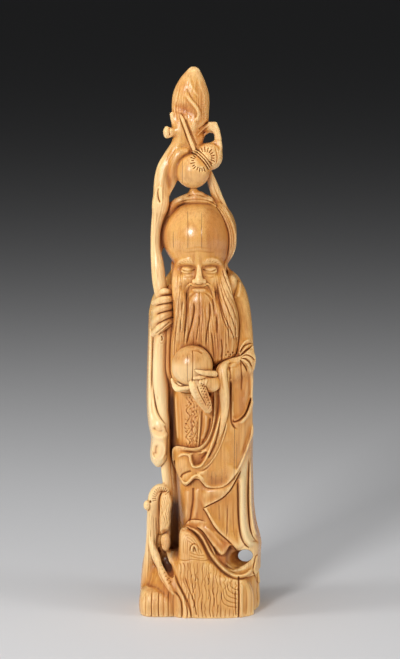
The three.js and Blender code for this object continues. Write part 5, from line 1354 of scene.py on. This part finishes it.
for name, val in (("crease", crease), ("hollow", hollow), ("shade", shade), ("busy", np.clip(busy * 3, 0, 1))):
    at_ = me.attributes.new(name, "FLOAT", "POINT")
    at_.data.foreach_set("value", val.astype(np.float32))
del FIELD, occ, half


# ==== ivory ==================================================================================
def ivory():
    m = bpy.data.materials.new("ivory")
    m.use_nodes = True
    nt = m.node_tree
    nt.nodes.clear()
    N = nt.nodes.new
    L = nt.links.new
    out, sh = N("ShaderNodeOutputMaterial"), N("ShaderNodeBsdfPrincipled")
    L(sh.outputs[0], out.inputs[0])

    def attr(name):
        a = N("ShaderNodeAttribute")
        a.attribute_name = name
        return a.outputs["Fac"]

    def math_(op, a, b=None, c=None, clamp=False):
        n = N("ShaderNodeMath")
        n.operation = op
        n.use_clamp = clamp
        for i, x in enumerate((a, b, c)):
            if x is None:
                continue
            if isinstance(x, (int, float)):
                n.inputs[i].default_value = x
            else:
                L(x, n.inputs[i])
        return n.outputs[0]

    def ramp(x, stops, kind="RGB"):
        n = N("ShaderNodeValToRGB")
        el = n.color_ramp.elements
        while len(el) < len(stops):
            el.new(0.5)
        for e, (pos, col) in zip(el, stops):
            e.position = pos
            e.color = (*col, 1) if len(col) == 3 else col
        L(x, n.inputs[0])
        return n.outputs[0]

    def mix(fac, a, b, kind="MIX"):
        n = N("ShaderNodeMix")
        n.data_type = "RGBA"
        n.blend_type = kind
        for s, x in ((n.inputs[0], fac), (n.inputs[6], a), (n.inputs[7], b)):
            if isinstance(x, (int, float)):
                s.default_value = x
            elif isinstance(x, tuple):
                s.default_value = (*x, 1)
            else:
                L(x, s)
        return n.outputs[2]

    geo = N("ShaderNodeTexCoord").outputs["Object"]
    sep = N("ShaderNodeSeparateXYZ")
    L(geo, sep.inputs[0])
    X, Y, Z = sep.outputs

    def stretched(sx, sy, sz, scale, detail=3.0, rough=0.55):
        mp = N("ShaderNodeMapping")
        L(geo, mp.inputs[0])
        mp.inputs["Scale"].default_value = (sx, sy, sz)
        n = N("ShaderNodeTexNoise")
        L(mp.outputs[0], n.inputs["Vector"])
        n.inputs["Scale"].default_value = scale
        n.inputs["Detail"].default_value = detail
        n.inputs["Roughness"].default_value = rough
        return n.outputs[0]

    crease, hollow, shade = attr("crease"), attr("hollow"), attr("shade")
    cloud = stretched(1, 1, 0.5, 45, 3)
    grain = stretched(1, 1, 0.06, 900, 2, 0.6)
    broad = stretched(1, 1, 0.12, 160, 3, 0.6)
    pores = stretched(1, 1, 0.5, 2600, 2, 0.6)

    # honey tone; paler on ridges and standing parts, which is wear with a painted highlight, and darker in hollows and
    # creases, which is patina with painted shade
    tone = math_("ADD", math_("MULTIPLY", cloud, 0.55), math_("MULTIPLY", broad, 0.45))
    base = ramp(tone, [(0.25, (0.56, 0.208, 0.038)), (0.5, (0.655, 0.298, 0.063)), (0.75, (0.745, 0.412, 0.106))])
    # painted highlight with wear: ridges and standing parts are mixed towards pale cream
    wear_and_highlight = math_("ADD", math_("ADD", math_("MULTIPLY", crease, -1.3), math_("MULTIPLY", hollow, -0.8)), math_("MULTIPLY", shade, -0.9), clamp=True)
    base = mix(math_("MULTIPLY", wear_and_highlight, 0.78), base, (0.93, 0.65, 0.31))
    # patina with painted shade: hollows and sheltered places are mixed towards dark brown
    low = math_("MULTIPLY", math_("ADD", math_("MULTIPLY", hollow, 1.5), math_("MULTIPLY", shade, 0.7)), 1.0, clamp=True)
    base = mix(math_("MULTIPLY", low, 0.85), base, (0.40, 0.135, 0.035))
    # painted shade with patina: carved lines and creases are mixed towards near-black brown
    line = math_("MULTIPLY", math_("SUBTRACT", crease, 0.10), 2.2, clamp=True)
    base = mix(math_("MULTIPLY", line, 0.78), base, (0.20, 0.062, 0.014))
    # long fine grain
    g = ramp(grain, [(0.36, (0.74, 0.64, 0.54)), (0.56, (1, 1, 1))])
    base = mix(0.48, base, g, "MULTIPLY")
    streak = stretched(1, 1, 0.03, 420, 3, 0.65)
    g = ramp(streak, [(0.40, (0.70, 0.52, 0.36)), (0.47, (1, 1, 1)), (0.60, (1, 1, 1)), (0.74, (1.0, 0.96, 0.88))])
    base = mix(0.42, base, g, "MULTIPLY")

    # a browner patch on one side of the bald head
    def soft(x, a, b):
        return math_("DIVIDE", math_("SUBTRACT", x, a), b - a, clamp=True)

    patch = math_("MULTIPLY", math_("MULTIPLY", soft(X, 0.0010, 0.0060), soft(Z, 0.211, 0.220)), math_("MULTIPLY", soft(Z, 0.256, 0.246), soft(Y, -0.001, -0.007)))
    base = mix(patch, base, (0.74, 0.58, 0.46), "MULTIPLY")
    # the beard is painted a deeper, darker tone
    hair = math_("MULTIPLY", math_("MULTIPLY", soft(X, -0.0185, -0.0165), soft(X, 0.0245, 0.0225)), math_("MULTIPLY", math_("MULTIPLY", soft(Z, 0.148, 0.160), soft(Z, 0.200, 0.190)), soft(Y, -0.0120, -0.0165)))
    base = mix(hair, base, (0.84, 0.77, 0.72), "MULTIPLY")
    # paler where hands have rubbed it: the staff with its sleeve, and the big rolls of cloth
    rubbed = math_("MULTIPLY", math_("MULTIPLY", soft(X, -0.0185, -0.0225), soft(Y, 0.006, -0.003)), soft(Z, 0.072, 0.082))
    roll = math_("MULTIPLY", math_("MULTIPLY", soft(X, 0.0225, 0.0245), soft(Z, 0.036, 0.046)), math_("MULTIPLY", soft(Z, 0.100, 0.088), soft(Y, -0.006, -0.012)))
    rubbed = math_("MULTIPLY", rubbed, math_("SUBTRACT", 1.0, math_("MULTIPLY", soft(Z, 0.150, 0.172), 0.62)))
    neck = math_("MULTIPLY", math_("MULTIPLY", soft(X, -0.0240, -0.0270), 0.5), math_("MULTIPLY", soft(Z, 0.028, 0.036), soft(Z, 0.082, 0.072)))
    rubbed = math_("MAXIMUM", rubbed, neck)
    rubbed = math_("MULTIPLY", math_("MAXIMUM", rubbed, roll), math_("SUBTRACT", 1.0, math_("MAXIMUM", line, math_("MULTIPLY", low, 0.8))), clamp=True)
    base = mix(math_("MULTIPLY", rubbed, 0.68), base, (0.97, 0.75, 0.41))
    # the peach is painted paler on its lit side: a painted highlight together with wear
    pale = math_("MULTIPLY", math_("MULTIPLY", soft(X, 0.0050, -0.0040), soft(Y, -0.0215, -0.0245)), math_("MULTIPLY", soft(Z, 0.133, 0.137), soft(Z, 0.158, 0.154)))
    base = mix(math_("MULTIPLY", math_("MULTIPLY", pale, math_("SUBTRACT", 1.0, line, clamp=True)), 0.4), base, (0.97, 0.75, 0.41))
    # painted shadow, with some old dirt, deep in the gap beside the bird, in the cleft below its knob, round the
    # pierced hole and in the narrow gap beside the staff: these are mixed towards near-black
    for x0, x1, z0, z1, yf, shadow_strength in ((-0.0182, -0.0128, 0.036, 0.066, -0.0185, 0.97), (-0.0232, -0.0168, 0.023, 0.037, -0.0165, 0.85), (0.0150, 0.0235, 0.029, 0.041, -0.0300, 0.45), (-0.0183, -0.0156, 0.098, 0.133, -0.0108, 0.85)):
        m1 = math_("MULTIPLY", soft(X, x0 - 0.0008, x0 + 0.0008), soft(X, x1 + 0.0008, x1 - 0.0008))
        m2 = math_("MULTIPLY", soft(Z, z0 - 0.003, z0 + 0.003), soft(Z, z1 + 0.003, z1 - 0.003))
        m3 = math_("MULTIPLY", math_("MULTIPLY", m1, m2), math_("MULTIPLY", soft(Y, yf, yf + 0.0025), soft(Y, 0.012, 0.008)))
        base = mix(math_("MULTIPLY", m3, shadow_strength), base, (0.12, 0.075, 0.062), "MULTIPLY")

    # painted shade with a reddish stain in the carving's hollows, in front: each spot multiplies the colour towards
    # red-brown
    for x0, z0, rx, rz, much in SHADE_AND_STAINS:
        p2 = math_("POWER", math_("DIVIDE", math_("SUBTRACT", X, x0), rx), 2.0)
        q2 = math_("POWER", math_("DIVIDE", math_("SUBTRACT", Z, z0), rz), 2.0)
        m4 = math_("MULTIPLY", math_("MULTIPLY", math_("SUBTRACT", 1.0, math_("ADD", p2, q2), clamp=True), soft(Y, 0.006, 0.001)), math_("ADD", math_("MULTIPLY", tone, 0.8), 0.6))
        base = mix(math_("MULTIPLY", m4, much, clamp=True), base, (0.82, 0.60, 0.43), "MULTIPLY")

    # age cracks: thin dark lines down the grain, in front
    wob = stretched(1, 1, 0.4, 60, 2)
    total = None
    for x0, z0, z1, w in CRACKS:
        d = math_("ABSOLUTE", math_("SUBTRACT", math_("ADD", X, math_("MULTIPLY", math_("SUBTRACT", wob, 0.5), 0.0016)), x0))
        a = math_("SUBTRACT", 1.0, math_("DIVIDE", d, w), clamp=True)
        b = math_("MULTIPLY", math_("SUBTRACT", Z, z0), 600.0, clamp=True)
        c = math_("MULTIPLY", math_("SUBTRACT", z1, Z), 600.0, clamp=True)
        e = math_("MULTIPLY", math_("SUBTRACT", 0.0, Y), 400.0, clamp=True)
        one = math_("MULTIPLY", math_("MULTIPLY", a, b), math_("MULTIPLY", c, e))
        total = one if total is None else math_("MAXIMUM", total, one)
    base = mix(math_("MULTIPLY", total, 0.85), base, (0.14, 0.05, 0.015))
    L(base, sh.inputs["Base Color"])

    carved = math_("ADD", math_("MULTIPLY", math_("ABSOLUTE", crease), 0.45), math_("MULTIPLY", attr("busy"), 0.2), clamp=True)
    r = math_("ADD", math_("ADD", math_("MULTIPLY", pores, 0.12), carved), math_("ADD", math_("MULTIPLY", low, 0.45), 0.17), clamp=True)
    L(r, sh.inputs["Roughness"])
    sh.inputs["IOR"].default_value = 1.54
    polish = math_("MULTIPLY", math_("SUBTRACT", 0.75, attr("busy"), clamp=True), 0.5)
    L(polish, sh.inputs["Coat Weight"])
    sh.inputs["Coat Roughness"].default_value = 0.16
    sh.inputs["Subsurface Weight"].default_value = 0.12
    sh.inputs["Subsurface Radius"].default_value = (0.0022, 0.0011, 0.0005)
    sh.inputs["Subsurface Scale"].default_value = 1.0
    bump = N("ShaderNodeBump")
    bump.inputs["Strength"].default_value = 0.35
    bump.inputs["Distance"].default_value = 0.0004
    hgt = math_("ADD", math_("MULTIPLY", grain, 0.6), math_("MULTIPLY", pores, 0.25))
    hgt = math_("SUBTRACT", hgt, math_("MULTIPLY", total, 1.2))
    L(hgt, bump.inputs["Height"])
    L(bump.outputs[0], sh.inputs["Normal"])
    return m


def crack(u, v0, v1, y, w=0.28):
    a, b = at(u, v0, y), at(u, v1, y)
    return ((a[0] + SHIFT[0]) * 0.001, b[2] * 0.001, a[2] * 0.001, w * 0.001)


def shade_stain(u, v, y, ru, rv, much):
    c = at(u, v, y)
    return ((c[0] + SHIFT[0]) * 0.001, c[2] * 0.001, ru * SHEET * 0.001, rv * SHEET * 0.001, much)


# spots of painted shade with a reddish stain over the hollows, placed on the front drawing
SHADE_AND_STAINS = [
    shade_stain(185, 110, -8, 12, 9, 0.8), shade_stain(201, 135, -4, 9, 11, 0.9), shade_stain(182, 85, -7, 7, 11, 0.5), shade_stain(170.5, 175, -6, 5, 16, 0.7), shade_stain(206, 178, -4, 12, 9, 0.5),
    shade_stain(172, 206, -3, 8, 10, 0.7), shade_stain(165.6, 238, -6, 6, 22, 0.6), shade_stain(173, 266, -9, 9, 11, 0.8), shade_stain(224, 262, -6, 8, 12, 0.6), shade_stain(198, 196, -4, 16, 6, 0.5),
    shade_stain(158.4, 430, -16, 8, 7, 0.4), shade_stain(157.6, 451, -16, 7, 9, 0.4), shade_stain(166.4, 356, -15, 5, 34, 0.6), shade_stain(204, 398, -36, 8, 15, 0.6), shade_stain(236, 421, -26, 7, 8, 0.8),
    shade_stain(240, 392, -25, 12, 30, 0.6), shade_stain(190, 515, -24, 16, 32, 0.5), shade_stain(231, 558, -28, 14, 12, 0.9), shade_stain(171, 580, -20, 10, 28, 0.6), shade_stain(208, 540, -28, 12, 16, 0.5),
    shade_stain(196, 330, -24, 10, 34, 0.4), shade_stain(216, 345, -24, 9, 26, 0.5), shade_stain(165, 542, -16, 9, 14, 0.55), shade_stain(210, 400, -28, 9, 16, 0.6), shade_stain(199, 459, -27, 9, 8, 0.6),
    shade_stain(213, 157, -5, 10, 9, 0.4), shade_stain(203, 102, -7, 8, 22, 0.45), shade_stain(226, 545, -28, 11, 8, 0.9), shade_stain(187, 418, -27, 10, 26, 0.35), shade_stain(164, 312, -16, 9, 20, 0.5),
]
CRACKS = [
    crack(173.5, 230, 249, -16), crack(188, 211, 249, -20), crack(201.6, 212, 249, -20), crack(187.4, 354, 384, -38), crack(182.6, 159, 185, -13),
    crack(234.4, 426, 482, -26, 0.32), crack(236.6, 440, 470, -26, 0.2), crack(212, 470, 487, -28, 0.2), crack(216, 472, 487, -28, 0.2), crack(222, 468, 486, -28, 0.2),
]
me.materials.clear()
me.materials.append(ivory())

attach(body, "root")
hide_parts("shou_lao_figure")

# ==== floor, light, camera ======================================================================
floor_mesh = bpy.data.meshes.new("floor")
R_ = 60.0
floor_mesh.from_pydata([(-R_, -R_, 0), (R_, -R_, 0), (R_, R_, 0), (-R_, R_, 0)], [], [(0, 1, 2, 3)])
ground = bpy.data.objects.new("floor", floor_mesh)
bpy.context.scene.collection.objects.link(ground)
pale = bpy.data.materials.new("pale_floor")
pale.use_nodes = True
p = pale.node_tree.nodes["Principled BSDF"]
p.inputs["Base Color"].default_value = (0.72, 0.72, 0.73, 1)
p.inputs["Roughness"].default_value = 0.75
floor_mesh.materials.append(pale)

world = bpy.data.worlds.new("studio")
world.use_nodes = True
world.node_tree.nodes["Background"].inputs[0].default_value = (0.80, 0.81, 0.83, 1)
world.node_tree.nodes["Background"].inputs[1].default_value = 0.019
bpy.context.scene.world = world


def lamp(name, place, aim, size, power, colour=(1, 1, 1)):
    d = bpy.data.lights.new(name, "AREA")
    d.shape = "RECTANGLE"
    d.size, d.size_y = size
    d.energy, d.color = power, colour
    o = bpy.data.objects.new(name, d)
    o.location = place
    o.rotation_mode = "QUATERNION"
    o.rotation_quaternion = (Vector(aim) - Vector(place)).to_track_quat("-Z", "Y")
    bpy.context.scene.collection.objects.link(o)
    o.visible_glossy = name == "key"
    return o


lamp("key", (-0.56, -1.19, 0.70), (0, 0, 0.17), (0.26, 0.36), 11.3)
lamp("left", (-1.25, -0.28, 0.40), (0, 0, 0.16), (0.35, 0.8), 8.4)
lamp("right", (1.2, -0.42, 0.36), (0, 0, 0.14), (0.4, 0.8), 6.8)
lamp("fill", (1.05, -0.95, 0.45), (0, 0, 0.16), (1.1, 1.1), 4.0)
lamp("top", (-0.1, -0.12, 1.0), (0, 0, 0.17), (0.6, 0.6), 3.8)

cam_data = bpy.data.cameras.new("camera")
cam = bpy.data.objects.new("camera", cam_data)
bpy.context.scene.collection.objects.link(cam)
bpy.context.scene.camera = cam
cam_data.sensor_width = 36
cam_data.lens = 2500 / 659 * 36
cam_data.clip_start, cam_data.clip_end = 0.05, 200
eye = (np.array(EYE) + np.array(SHIFT)) * 0.001
aim = at(200, 329.5, 0.0)
aim = (aim + np.array(SHIFT)) * 0.001
cam.location = eye
cam.rotation_mode = "QUATERNION"
cam.rotation_quaternion = (Vector(aim) - Vector(eye)).to_track_quat("-Z", "Y")
bpy.context.scene.view_settings.view_transform = "Standard"
